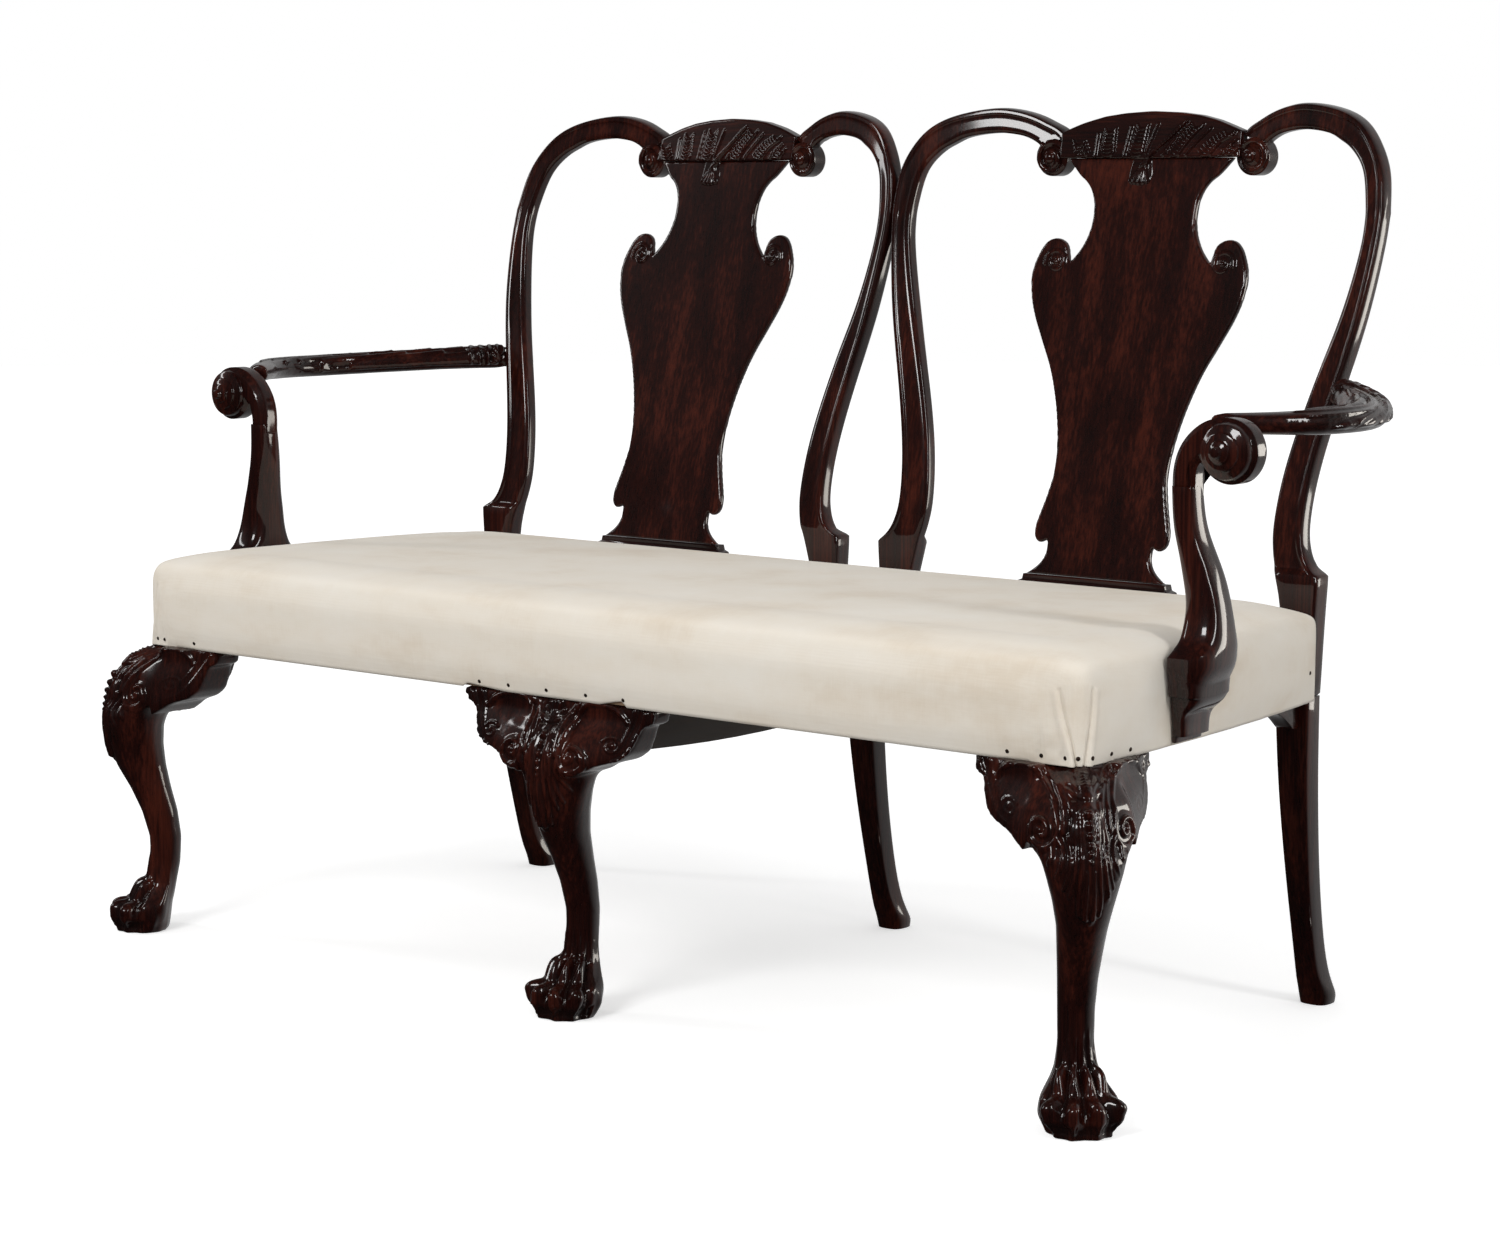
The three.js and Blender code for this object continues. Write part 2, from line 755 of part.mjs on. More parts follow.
function splatFace(across, height) {
  const share = (height - splatFoot) / (crestFoot - splatFoot);
  const straight = THREE.MathUtils.lerp(splatFaceLow, splatFaceHigh, share);
  return straight + splay(height) * across * THREE.MathUtils.clamp(share, 0, 1);
}

// Bends a flat outline of across and height on to a chair's back.
function board(side, outline, thickness, proud) {
  const flat = slab(outline, 0, thickness);
  const place = flat.attributes.position;
  for (let i = 0; i < place.count; i++) {
    const [across, behind, height] = [place.getX(i), place.getY(i), place.getZ(i)];
    const face = splatFace(across, height) - proud + behind;
    const spot = backPoint(side, across, height, face);
    place.setXYZ(i, spot.x, spot.y, spot.z);
  }
  return facingOut(flat);
}

function splat(side) {
  const height = crestFoot - gap - splatFoot;
  const sized = (table) => table.map(([x, z]) => [x * splatHalfWidth, splatFoot + z * height]);
  const half = [
    ...smoothLine(sized(splatNeckShares), 9),
    ...smoothLine(sized(splatEarShares), 26).slice(1),
    ...smoothLine(sized(splatFootShares), 6).slice(1),
  ];
  const other = half.map((p) => new THREE.Vector2(-p.x, p.y)).reverse();
  return board(side, [...half, ...other], splatThickness, 0);
}

// The crest's front is gathered in folds that spread from its foot.
function crest(side) {
  const limit = voluteAcross - voluteRadius - gap;
  const stations = 32;
  const topRows = crestShares.map(([x, z]) => [x * backHalfWidth, rise(z)]);
  const rings = [];
  for (let i = 0; i <= stations; i++) {
    const share = (2 * i) / stations - 1;
    const across = share * limit;
    const top = between(topRows, Math.abs(across), 1);
    const fold = crestFold * Math.cos(Math.PI * i);
    const bottom = crestFoot;
    const at = (level, behind) => {
      const height = THREE.MathUtils.lerp(bottom, top, level);
      return backPoint(side, across, height, splatFace(across, height) + behind);
    };
    const front = (splatThickness - crestThickness) / 2;
    const back = front + crestThickness;
    rings.push([
      at(0, front + crestFold),
      at(0.35, front + fold / 2),
      at(0.8, front + fold),
      at(1, front + crestFold * 2),
      at(1, back - crestFold),
      at(0.85, back),
      at(0, back),
    ]);
  }
  return loft(rings);
}

function shoe(side) {
  const rings = shoeShares.map(([height, width, depth]) => {
    const z = railTop + gap + height * (shoeHeight - gap);
    const front = seatDepth - depth * shoeDepth;
    const half = width * shoeHalfWidth;
    const corners = [[-half, front], [half, front], [half, seatDepth], [-half, seatDepth]];
    return corners.map(([x, y]) => new THREE.Vector3(side * chairHalfPitch + x, y, z));
  });
  return loft(rings);
}

for (const [side, label] of [[-1, "left"], [1, "right"]]) {
  for (const [hand, place] of [[1, "outer"], [-1, "inner"]]) {
    piece(`stile_${label}_${place}`, stile(side, hand), mahogany);
    piece(`hoop_${label}_${place}`, hoop(side, hand), mahogany);
  }
  piece(`crest_${label}`, crest(side), mahogany);
  piece(`splat_${label}`, splat(side), mahogany);
  piece(`shoe_${label}`, shoe(side), mahogany);
}

// Rear legs stand under the outer stiles and under the middle of the rear rail.
const blockNear = chairHalfPitch + blockShares.bottomNear * backHalfWidth;
const blockFar = chairHalfPitch + blockShares.bottomFar * backHalfWidth;

function rearLeg(x) {
  const middle = seatDepth - blockDepth / 2;
  const half = rearLegWidth / 2;
  const top = railBottom - gap;
  const turns = 16;
  const ring = (height, back, halfWidth, halfDepth, power) =>
    Array.from({ length: turns }, (_, i) => {
      const [u, v] = roundness((i * 2 * Math.PI) / turns, power);
      const inwards = (Math.sign(x) * rearFootIn * back) / rearFootBack;
      return new THREE.Vector3(x - inwards + u * halfWidth, middle + back + v * halfDepth, height);
    });
  const shaft = rearLegShares.map(([height, back, width, depth]) =>
    ring(height * top, back * rearFootBack, width * half, (depth * blockDepth) / 2, 7),
  );
  const club = clubFootShares.map(([height, back, size]) => {
    const reach = (size * clubFootSide) / 2;
    return ring(height * top, back * rearFootBack, reach, reach, 3);
  });
  return loft([...shaft, ...club]);
}

const rearLegX = (blockNear + blockFar) / 2;
piece("rear_leg_left", rearLeg(-rearLegX), mahogany);
piece("rear_leg_middle", rearLeg(0), mahogany);
piece("rear_leg_right", rearLeg(rearLegX), mahogany);

// Seat rails
function frontRail(side) {
  const ends = [side * (middlePostWidth / 2 + gap), side * (cornerBlockFace - gap)];
  return box(Math.min(...ends), Math.max(...ends), frontRailFace, frontRailBack, railBottom, railTop);
}
const postBack = cornerBlockBack + gap;
const sideRailOuter = (back) => clothSide(back) - clothThickness - sideRailRoom;
const sideRailInner = (back) => sideRailOuter(back) - sideRailThickness;

function sideRail(side) {
  const steps = 8;
  const places = Array.from({ length: steps + 1 }, (_, i) =>
    THREE.MathUtils.lerp(postBack, blockFace - gap, i / steps),
  );
  const outer = places.map((y) => new THREE.Vector2(side * sideRailOuter(y), y));
  const inner = places.map((y) => new THREE.Vector2(side * sideRailInner(y), y));
  return prism([...outer, ...inner.reverse()], railBottom, railTop);
}

function rearRail() {
  const topNear = chairHalfPitch + blockShares.topNear * backHalfWidth;
  const share = railHeight / (rise(blockTopShare) - railBottom);
  const low = blockNear - gap;
  const high = THREE.MathUtils.lerp(blockNear, topNear, share) - 2 * gap;
  const outline = [[-low, railBottom], [low, railBottom], [high, railTop], [-high, railTop]];
  return slab(outline.map(([x, z]) => new THREE.Vector2(x, z)), rearRailFace, seatDepth);
}

// An outline of places from front to back and heights, made a plank between two x places
function plank(outline, left, right) {
  const points = outline.map(([y, z]) => new THREE.Vector2(y, z));
  const flat = new THREE.ExtrudeGeometry(new THREE.Shape(points), {
    depth: right - left,
    bevelEnabled: false,
  });
  return facingOut(bare(flat.rotateX(Math.PI / 2).rotateZ(Math.PI / 2).translate(left, 0, 0)));
}

// A deep board from the middle leg to the rear rail. Its lower edge bellies below the rails.
function medialRail() {
  const front = middleFoot.y - middlePostInner + gap;
  const back = rearRailFace - gap;
  const steps = 10;
  const lower = Array.from({ length: steps + 1 }, (_, i) => {
    const drop = medialRailDrop + medialRailBelly * Math.sin((Math.PI * i) / steps);
    return [THREE.MathUtils.lerp(front, back, i / steps), railBottom - drop];
  });
  const half = medialRailWidth / 2;
  return plank([...lower, [back, railTop], [front, railTop]], -half, half);
}

piece("front_rail_left", frontRail(-1), frameWood);
piece("front_rail_right", frontRail(1), frameWood);
piece("side_rail_left", sideRail(-1), frameWood);
piece("side_rail_right", sideRail(1), frameWood);
piece("rear_rail", rearRail(), mahogany);
piece("medial_rail", medialRail(), mahogany);

// Glued blocks across the corners of the frame
for (const [side, label] of [[-1, "left"], [1, "right"]]) {
  const [face, behind] = [cornerBlockFace - gap, frontRailBack + gap];
  const frontBlock = [
    [face, behind],
    [face - cornerBlockReach, behind],
    [sideRailInner(postBack + cornerBlockReach) - gap, postBack + cornerBlockReach],
    [sideRailInner(postBack) - gap, postBack],
    [face, postBack],
  ];
  const near = rearRailFace - gap;
  const rearBlock = [
    [sideRailInner(near) - gap, near],
    [sideRailInner(near) - gap - cornerBlockReach, near],
    [sideRailInner(near - cornerBlockReach) - gap, near - cornerBlockReach],
  ];
  for (const [place, outline] of [["front", frontBlock], ["rear", rearBlock]]) {
    const points = outline.map(([x, y]) => new THREE.Vector2(side * x, y));
    const block = prism(points, railTop - cornerBlockHeight, railTop);
    piece(`corner_block_${label}_${place}`, block, frameWood);
  }
  // A shaped bracket under the side rail, against the front of the rear leg
  const bracketBack = blockFace - gap;
  const curve = [[0, 1], [0.2, 0.98], [0.4, 0.7], [0.65, 0.42], [1, 0.3]];
  const bracketTop = railBottom - gap;
  const profile = [
    [bracketBack, bracketTop],
    ...curve.map(([far, drop]) => [
      bracketBack - far * bracketLength,
      bracketTop - drop * bracketDrop,
    ]),
    [bracketBack - bracketLength, bracketTop],
  ];
  const inner = rearLegX - bracketThickness / 2;
  const bracket = plank(profile, inner, inner + bracketThickness);
  if (side < 0) bracket.scale(-1, 1, 1);
  piece(`rear_bracket_${label}`, facingOut(bracket), mahogany);
}

// Webbing: straps across and along the frame, joined where they cross. The ones that run
// back pass between the shoes and the stiles.
function webbing() {
  const [bottom, top] = [railTop + gap, webTop];
  const half = webWidth / 2;
  const rearEnd = seatDepth - webEndMargin;
  const freeMiddle = (shoeHalfWidth + blockShares.topNear * backHalfWidth) / 2;
  let straps;
  const join = (strap) => {
    straps = straps ? straps.add(solid(strap)) : solid(strap);
  };
  for (const side of [-1, 1]) {
    for (const hand of [-1, 1]) {
      const x = side * (chairHalfPitch + hand * freeMiddle);
      join(box(x - half, x + half, frontRailFace + webEndMargin, rearEnd, bottom, top));
    }
  }
  const rows = 4;
  const [first, last] = [frontRailBack + webWidth, blockFace - webWidth];
  for (let i = 0; i < rows; i++) {
    const y = THREE.MathUtils.lerp(first, last, i / (rows - 1));
    const reach = sideRailOuter(y + half) - webEndMargin;
    join(box(-reach, reach, y - half, y + half, bottom, top));
  }
  return geometryOf(straps);
}
piece("webbing", webbing(), jute);

// Seat cover and stuffing. A ring follows the seat's plan at an inset from the cloth's edge.
const planSteps = { front: 8, side: 6 };

function planRing(inset, heightAt) {
  const rear = seatDepth - clothRearEdge;
  const near = (y) => clothSide(y) - inset;
  const start = inset;
  const end = rear - inset;
  const corner = Math.min(clothCornerRadius, (end - start) / 4);
  const points = [];
  for (let i = 0; i <= planSteps.front; i++) {
    const share = (2 * i) / planSteps.front - 1;
    points.push([share * (near(start) - corner), start]);
  }
  for (let i = 0; i <= planSteps.side; i++) {
    const y = THREE.MathUtils.lerp(start + corner, end - corner, i / planSteps.side);
    points.push([near(y), y]);
  }
  for (let i = 0; i <= planSteps.front; i++) {
    const share = 1 - (2 * i) / planSteps.front;
    points.push([share * (near(end) - corner), end]);
  }
  for (let i = 0; i <= planSteps.side; i++) {
    const y = THREE.MathUtils.lerp(end - corner, start + corner, i / planSteps.side);
    points.push([-near(y), y]);
  }
  return points.map(([x, y]) => new THREE.Vector3(x, y, heightAt(y)));
}

// The cloth lies lower towards the uprights behind it.
const rearSlope = 0.26;
const lowered = (height, y) =>
  Math.min(height, clothRim + rearSlope * (seatDepth - clothRearEdge - y));
// Rounded edge and crown: inset and height as shares of the round and of the crown
const crownShares = [
  [0, 0.12],
  [0.03, 0.33],
  [0.1, 0.53],
  [0.25, 0.72],
  [0.5, 0.83],
  [1, 0.92],
  [2.2, 1],
];

function crownRings(inwards, down) {
  const rings = crownShares.map(([inset, height]) => {
    const level = railTop + height * seatCrown;
    return planRing(inset * seatEdgeRound + inwards, (y) => lowered(level, y) - down);
  });
  const middle = (seatDepth - clothRearEdge) / 2 - clothCornerRadius - inwards;
  rings.push(planRing(middle, (y) => lowered(seatTop, y) - down));
  return rings;
}

function seatCover() {
  const side = [railBottom, railBottom + railHeight / 2];
  const outer = side.map((height) => planRing(0, () => height));
  const inner = side.map((height) => planRing(clothThickness, () => height));
  const skin = loft([
    ...crownRings(clothThickness, clothThickness).reverse(),
    ...inner.reverse(),
    ...outer,
    ...crownRings(0, 0),
  ]);
  let cover = solid(skin);
  // The cloth stops on the rear rail, and is cut round the stiles and shoes.
  const cut = (left, right, front, top) => {
    const tool = box(left, right, front, seatDepth + overrun, railBottom - overrun, top);
    cover = cover.subtract(solid(tool));
  };
  const edge = seatHalfWidth + overrun;
  cut(-edge, edge, blockFace - gap, webTop + gap);
  for (const side of [-1, 1]) {
    const centre = side * chairHalfPitch;
    const clear = shoeHalfWidth + gap;
    cut(centre - clear, centre + clear, shoeFace - gap, seatTop + overrun);
    const far = centre + side * shoulderShares[0] * backHalfWidth;
    cut(Math.min(far, side * edge), Math.max(far, side * edge), blockFace - gap, seatTop + overrun);
    for (const hand of [-1, 1]) cover = cover.subtract(solid(blockClearance(side, hand)));
  }
  return geometryOf(cover);
}
piece("seat_cover", seatCover(), calico);

function stuffing() {
  const rearEnd = blockFace - gap - clothThickness;
  const middle = rearEnd / 2;
  const fit = 1 - padRoom / middle;
  const top = crownRings(clothThickness, clothThickness).slice(1);
  const under = top[0].map((p) => new THREE.Vector3(p.x, p.y, railTop));
  const pad = loft([...top.reverse(), under]);
  pad.translate(0, -middle, 0).scale(fit, fit, 1).translate(0, middle, -padRoom / 2);
  const edge = seatHalfWidth + overrun;
  const below = box(-edge, edge, -overrun, seatDepth + overrun, railBottom, webTop + gap);
  const behind = box(-edge, edge, rearEnd, seatDepth + overrun, railBottom, seatTop + overrun);
  return geometryOf(solid(pad).subtract(solid(below)).subtract(solid(behind)));
}
piece("stuffing", stuffing(), hair);

// Arm supports: a foot against the side of the seat, a bulging socket, an S-shaped shaft
// and a head that rolls outwards into a stepped scroll.
const supportLine = clothSide(supportPlace);
const supportHeight = (share) => supportFootHeight + share * supportRise;
const scrollBack = scrollPlace + scrollDepth / 2;
const scrollFront = scrollBack - scrollDepth;

function armSupport(side) {
  const turns = 16;
  const rings = supportShares.map(([height, inner, outer, length, lean, inside, outside]) => {
    const z = supportHeight(height);
    const [near, far] = [inner * socketReach, outer * socketReach];
    const [middle, half] = [(near + far) / 2, (far - near) / 2];
    const reach = length * socketHalfLength;
    const centre = supportPlace + lean * shaftLean;
    const upright = inner < 0 ? 0 : 1;
    return Array.from({ length: turns }, (_, i) => {
      const angle = ((i + 0.5) * 2 * Math.PI) / turns;
      const [u, v] = roundness(angle, Math.cos(angle) < 0 ? inside : outside);
      const y = centre + v * reach;
      const shift = upright * (clothSide(y) - supportLine);
      const x = supportLine + gap + middle + u * half + shift;
      return new THREE.Vector3(side * x, y, z);
    });
  });
  const outline = smoothLine(
    scrollShares.map(([out, height]) => [
      supportLine + gap + out * socketReach,
      supportHeight(height),
    ]),
    2 * (scrollShares.length - 1),
  );
  const shape = new THREE.Shape(outline);
  const head = new THREE.ExtrudeGeometry(shape, {
    depth: scrollDepth - 2 * scrollBevel,
    bevelEnabled: true,
    bevelThickness: scrollBevel,
    bevelSize: scrollBevel,
    bevelOffset: -scrollBevel,
    bevelSegments: 1,
  });
  head.rotateX(Math.PI / 2).translate(0, scrollBack - scrollBevel, 0);
  const profile = [...bossShares, [0, 1]].map(([radius, forward]) => {
    return new THREE.Vector2(radius * socketReach, -forward * scrollBossReach);
  });
  profile.unshift(new THREE.Vector2(bossShares[0][0] * socketReach, scrollDepth / 2));
  profile.unshift(new THREE.Vector2(0, scrollDepth / 2));
  const boss = new THREE.LatheGeometry(profile, 16);
  const eye = supportLine + gap + scrollEyeShares.out * socketReach;
  boss.translate(eye, scrollFront, supportHeight(scrollEyeShares.height));
  const flip = (geometry) => (side < 0 ? geometry.scale(-1, 1, 1) : geometry);
  const parts = [head, boss].map((geometry) => solid(facingOut(bare(flip(geometry)))));
  return geometryOf(solid(loft(rings)).add(parts[0]).add(parts[1]));
}

// Arms sweep out from the back of the scroll and in again to the outer stile.
function stileSide(height) {
  const rows = stileRows.map(([x, z]) => [z, x]);
  return centreLine(height) + between(rows, height, 1);
}

function arm(side) {
  const turns = 12;
  const start = scrollBack + gap;
  const topHeight = armHeight + armRearRise;
  const stileX = stileSide(topHeight) + gap;
  const end = memberFace(stileX - centreLine(topHeight), topHeight) + stileDepth / 2;
  const plan = armShares.map(([out, back]) => [
    THREE.MathUtils.lerp(stileX, armOut, out),
    THREE.MathUtils.lerp(start, end, back),
  ]);
  const curve = new THREE.CatmullRomCurve3(plan.map(([x, y]) => new THREE.Vector3(x, y, 0)));
  const steps = 18;
  const rings = [];
  for (let i = 0; i <= steps; i++) {
    const share = i / steps;
    const centre = curve.getPoint(share);
    const tangent = curve.getTangent(share);
    const taper = THREE.MathUtils.smoothstep(share, 0.75, 1);
    const lead = 1 - THREE.MathUtils.smoothstep(share, 0, 0.25);
    const { frontWidth, frontHeight, rearHeight } = armEndShares;
    const fullWidth = armWidth * THREE.MathUtils.lerp(1, frontWidth, lead);
    const width = THREE.MathUtils.lerp(fullWidth, stileDepth, taper);
    const ends = lead * (frontHeight - 1) + taper * (rearHeight - 1);
    const thickness = armThickness * (1 + ends);
    const height = armHeight + armRearRise * THREE.MathUtils.smoothstep(share, 0.4, 1);
    rings.push(
      Array.from({ length: turns }, (_, k) => {
        const [u, v] = roundness((k * 2 * Math.PI) / turns, 2.6);
        const z = height + (v * thickness) / 2;
        const across = (u * width) / 2;
        if (i === 0) return new THREE.Vector3(side * (centre.x + across), start, z);
        if (i === steps) {
          return new THREE.Vector3(side * (stileSide(z) + gap), centre.y - across, z);
        }
        const x = centre.x + tangent.y * across;
        const y = centre.y - tangent.x * across;
        return new THREE.Vector3(side * x, y, z);
      }),
    );
  }
  return loft(rings);
}

piece("arm_support_left", armSupport(-1), mahogany);
piece("arm_support_right", armSupport(1), mahogany);
piece("arm_left", arm(-1), mahogany);
piece("arm_right", arm(1), mahogany);

// Centre the settee over its origin, front to back.
const bounds = new THREE.Box3().setFromObject(settee);
settee.position.y = -(bounds.min.y + bounds.max.y) / 2;

export default settee;
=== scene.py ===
# %% [markdown]
# # A chair-back settee in carved mahogany
# This file dresses a settee for two: two hooped chair backs with vase splats, scrolled arms, three carved
# front legs on paw feet and a seat upholstered in plain cream cloth. The solids give every piece its size
# and place. Each step says what a piece is on the real settee, how it could be made, and why it is made so.

# %% Load the frame
import math

import bmesh
import bpy
import numpy as np
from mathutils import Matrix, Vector
from mathutils.geometry import convex_hull_2d


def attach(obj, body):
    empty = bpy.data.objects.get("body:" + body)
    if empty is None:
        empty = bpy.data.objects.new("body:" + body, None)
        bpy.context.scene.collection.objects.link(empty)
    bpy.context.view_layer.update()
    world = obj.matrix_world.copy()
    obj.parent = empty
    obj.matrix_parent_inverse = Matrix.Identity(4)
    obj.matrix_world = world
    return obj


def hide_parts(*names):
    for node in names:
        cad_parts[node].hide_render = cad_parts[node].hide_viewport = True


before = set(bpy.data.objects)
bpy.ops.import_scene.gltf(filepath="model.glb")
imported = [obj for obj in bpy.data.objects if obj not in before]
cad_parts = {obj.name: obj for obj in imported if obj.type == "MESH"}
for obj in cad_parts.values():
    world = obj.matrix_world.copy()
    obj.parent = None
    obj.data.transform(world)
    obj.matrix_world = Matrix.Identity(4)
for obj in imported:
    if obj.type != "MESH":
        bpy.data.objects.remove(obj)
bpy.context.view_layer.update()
scene = bpy.context.scene
scene.view_settings.view_transform = "Standard"
MM = 0.001
print("nodes in the frame:", len(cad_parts))

# %% [markdown]
# ## Camera
# The photograph looks from the settee's right, a little above the seat, with a long lens. A long lens keeps
# the far arm nearly as large as the near one, so the camera stands well back.

# %% Place the camera
CAMERA_PLACE = (2.5011, -2.9456, 0.9074)
CAMERA_TURN, CAMERA_FALL = 40.310, 7.402
LENS, SENSOR = 80.29, 36

camera = bpy.data.objects.new("camera", bpy.data.cameras.new("camera"))
camera.data.lens = LENS
camera.data.sensor_width = SENSOR
camera.location = CAMERA_PLACE
camera.rotation_euler = (math.radians(90 - CAMERA_FALL), 0, math.radians(CAMERA_TURN))
scene.collection.objects.link(camera)
scene.camera = camera
print("camera stands", round(Vector(CAMERA_PLACE).length, 2), "m from the settee")

# %% [markdown]
# ## Shader sums
# Wood and cloth patterns are sums of noises. Written as node calls, such sums are hard to read. A small class
# that wraps a socket lets them be written as plain arithmetic, and each sign adds one Math node.


# %% A number that varies over a surface
class Field:
    """A number that varies over a surface. Sums on it add Math nodes to its finish."""

    def __init__(self, finish, socket):
        self.finish = finish
        self.socket = socket

    def math(self, operation, *values, **settings):
        node = self.finish.node("Math", {"operation": operation, **settings}, dict(enumerate(values)))
        return Field(self.finish, node.outputs[0])

    def __add__(self, other):
        return self.math("ADD", self, other)

    __radd__ = __add__

    def __mul__(self, other):
        return self.math("MULTIPLY", self, other)

    __rmul__ = __mul__

    def __sub__(self, other):
        return self.math("SUBTRACT", self, other)

    def __rsub__(self, other):
        return self.math("SUBTRACT", other, self)

    def between(self, low, high):
        """0 below low, 1 above high, and smooth between them."""
        values = {"Value": self, "From Min": low, "From Max": high}
        node = self.finish.node("MapRange", {"interpolation_type": "SMOOTHSTEP"}, values)
        return Field(self.finish, node.outputs[0])


# %% A finish, which is a material with its nodes
class Finish:
    """The nodes of a material, or of the world. Constants go straight on the shader's sockets."""

    def __init__(self, name, slot=None, world=None):
        self.slot = slot
        self.material = world or bpy.data.materials.new(name)
        self.material.use_nodes = True
        self.tree = self.material.node_tree
        self.tree.nodes.clear()
        self.place = self.node("TexCoord").outputs["Object"]

    def node(self, kind, settings=None, values=None):
        node = self.tree.nodes.new("ShaderNode" + kind)
        for name, value in (settings or {}).items():
            if name == "stops":
                for _ in value[2:]:
                    node.color_ramp.elements.new(0.5)
                for element, (at, colour) in zip(node.color_ramp.elements, value):
                    element.position = at
                    element.color = (*colour, 1)
            else:
                setattr(node, name, value)
        for name, value in (values or {}).items():
            self.fill(node.inputs[name], value)
        return node

    def fill(self, socket, value):
        if isinstance(value, Field):
            value = value.socket
        if isinstance(value, bpy.types.NodeSocket):
            self.tree.links.new(value, socket)
        elif isinstance(value, tuple) and socket.type == "RGBA":
            socket.default_value = (*value, 1)
        else:
            socket.default_value = value

    def noise(self, size, detail=4, rough=0.5, distortion=0):
        """Noise whose lumps have these sizes in millimetres along x, y and z."""
        scale = tuple(1 / (MM * length) for length in size)
        mapping = self.node("Mapping", {}, {"Vector": self.place, "Scale": scale})
        values = {"Vector": mapping.outputs[0], "Scale": 1, "Detail": detail}
        values.update({"Roughness": rough, "Distortion": distortion})
        return Field(self, self.node("TexNoise", {}, values).outputs["Fac"])

    def blend(self, share, one, other):
        """A colour that goes from one to the other as share goes from 0 to 1."""
        return self.node("Mix", {"data_type": "RGBA"}, {"Factor": share, 6: one, 7: other}).outputs[2]

    def ramp(self, field, *stops):
        return self.node("ValToRGB", {"stops": stops}, {"Fac": field}).outputs["Color"]

    def attribute(self, name):
        return Field(self, self.node("Attribute", {"attribute_name": name}).outputs["Fac"])

    def bump(self, height, depth, strength=1):
        values = {"Height": height, "Distance": depth * MM, "Strength": strength}
        return self.node("Bump", {}, values).outputs[0]

    def surface(self, **values):
        shader = self.node("BsdfPrincipled")
        for name, value in values.items():
            self.fill(shader.inputs[name.replace("_", " ")], value)
        self.node("OutputMaterial", {}, {"Surface": shader.outputs[0]})
        return self


# %% [markdown]
# ## Mahogany
# Old polished mahogany is nearly black in shade and red-brown where light gets in. Its grain runs along each
# piece: long ribbons of lighter and darker wood, and short dark pores. A wax polish lies over it, so a clear
# coat goes on top of a rougher wood. The grooves of the carving get painted shade, a darker colour, and are a
# little rougher; a "carved" attribute of the mesh marks them.

# %% Make the mahogany, once for each direction of the grain
WOOD_DARK, WOOD_DEEP, WOOD_RED = (0.0058, 0.0011, 0.0008), (0.0160, 0.0024, 0.0014), (0.056, 0.0098, 0.0046)
# The colour below is painted shade, laid into the grooves of the carving.
PAINTED_GROOVE_SHADE = (0.0035, 0.0012, 0.0009)


def mahogany(name, along):
    """Polished mahogany. along is the axis of the grain, 0 for x, 1 for y and 2 for z."""

    def size(across, length):
        return tuple(length if axis == along else across for axis in range(3))

    finish = Finish(name, "mahogany")
    ribbon = finish.noise(size(34, 620), detail=3, distortion=0.25)
    streak = finish.noise(size(3.2, 260), detail=5, rough=0.6)
    pores = finish.noise(size(0.9, 14), detail=2).between(0.56, 0.72)
    smear = finish.noise((70, 70, 70), detail=3)
    figure = ribbon * 0.55 + streak * 0.45
    colour = finish.ramp(figure, (0.36, WOOD_DARK), (0.50, WOOD_DEEP), (0.66, WOOD_RED))
    colour = finish.blend(pores * 0.55, colour, WOOD_DARK)
    # The "carved" attribute marks the grooves beside carved strokes. Here they get painted shade, and the
    # same mask makes them a little rougher.
    painted_groove_shade = finish.attribute("carved")
    colour = finish.blend(painted_groove_shade * 0.6, colour, PAINTED_GROOVE_SHADE)
    gloss = 0.34 + smear * 0.14 + pores * 0.12 + painted_groove_shade * 0.2
    normal = finish.bump(streak * 0.4 - pores * 0.6, 0.05, 0.5)
    return finish.surface(
        Base_Color=colour, Roughness=gloss, Normal=normal, Specular_IOR_Level=0.07, Coat_Weight=0.75,
        Coat_Roughness=0.08, Coat_IOR=1.5,
    )


GRAINS = ("across", "fore and aft", "upright")
across_wood, fore_wood, upright_wood = (mahogany("mahogany " + way, axis) for axis, way in enumerate(GRAINS))
print("mahogany made with its grain", ", ".join(GRAINS))

# %% [markdown]
# ## The hidden woods and the webbing
# The rails and corner blocks under the cloth are pale, unpolished timber that has browned with age. The
# middle rail shows under the seat and is nearly black. The webbing is coarse woven jute.


# %% Rail timber and jute
def timber(name, along, tone):
    finish = Finish(name, "frame_wood")
    size = tuple(220 if axis == along else 6 for axis in range(3))
    grain = finish.noise(size, detail=5, rough=0.6, distortion=0.3)
    stain = finish.noise((90, 90, 90), detail=3)
    dark = tuple(0.45 * part for part in tone)
    colour = finish.ramp(grain * 0.7 + stain * 0.3, (0.34, dark), (0.62, tone))
    return finish.surface(
        Base_Color=colour, Roughness=0.6 + grain * 0.25, Normal=finish.bump(grain, 0.3, 0.6)
    )


def wave(finish, size, direction):
    """Ridges this far apart in millimetres, along one axis."""
    settings = {"wave_type": "BANDS", "bands_direction": direction, "wave_profile": "SIN"}
    values = {"Vector": finish.place, "Scale": 2 * math.pi / (20 * size * MM)}
    return Field(finish, finish.node("TexWave", settings, values).outputs["Fac"])


def woven_jute():
    finish = Finish("jute webbing", "jute")
    thread = 2.2
    warp, weft = wave(finish, thread, "X"), wave(finish, thread, "Y")
    slub = finish.noise((thread * 3, thread * 40, thread * 3), detail=2)
    stain = finish.noise((40, 40, 40))
    colour = finish.ramp(stain * 0.7 + slub * 0.3, (0.35, (0.16, 0.11, 0.06)), (0.65, (0.34, 0.25, 0.14)))
    return finish.surface(
        Base_Color=colour, Roughness=0.9, Sheen_Weight=0.2,
        Normal=finish.bump(warp * 0.5 + weft * 0.5 + slub * 0.5, 0.7, 0.6),
    )


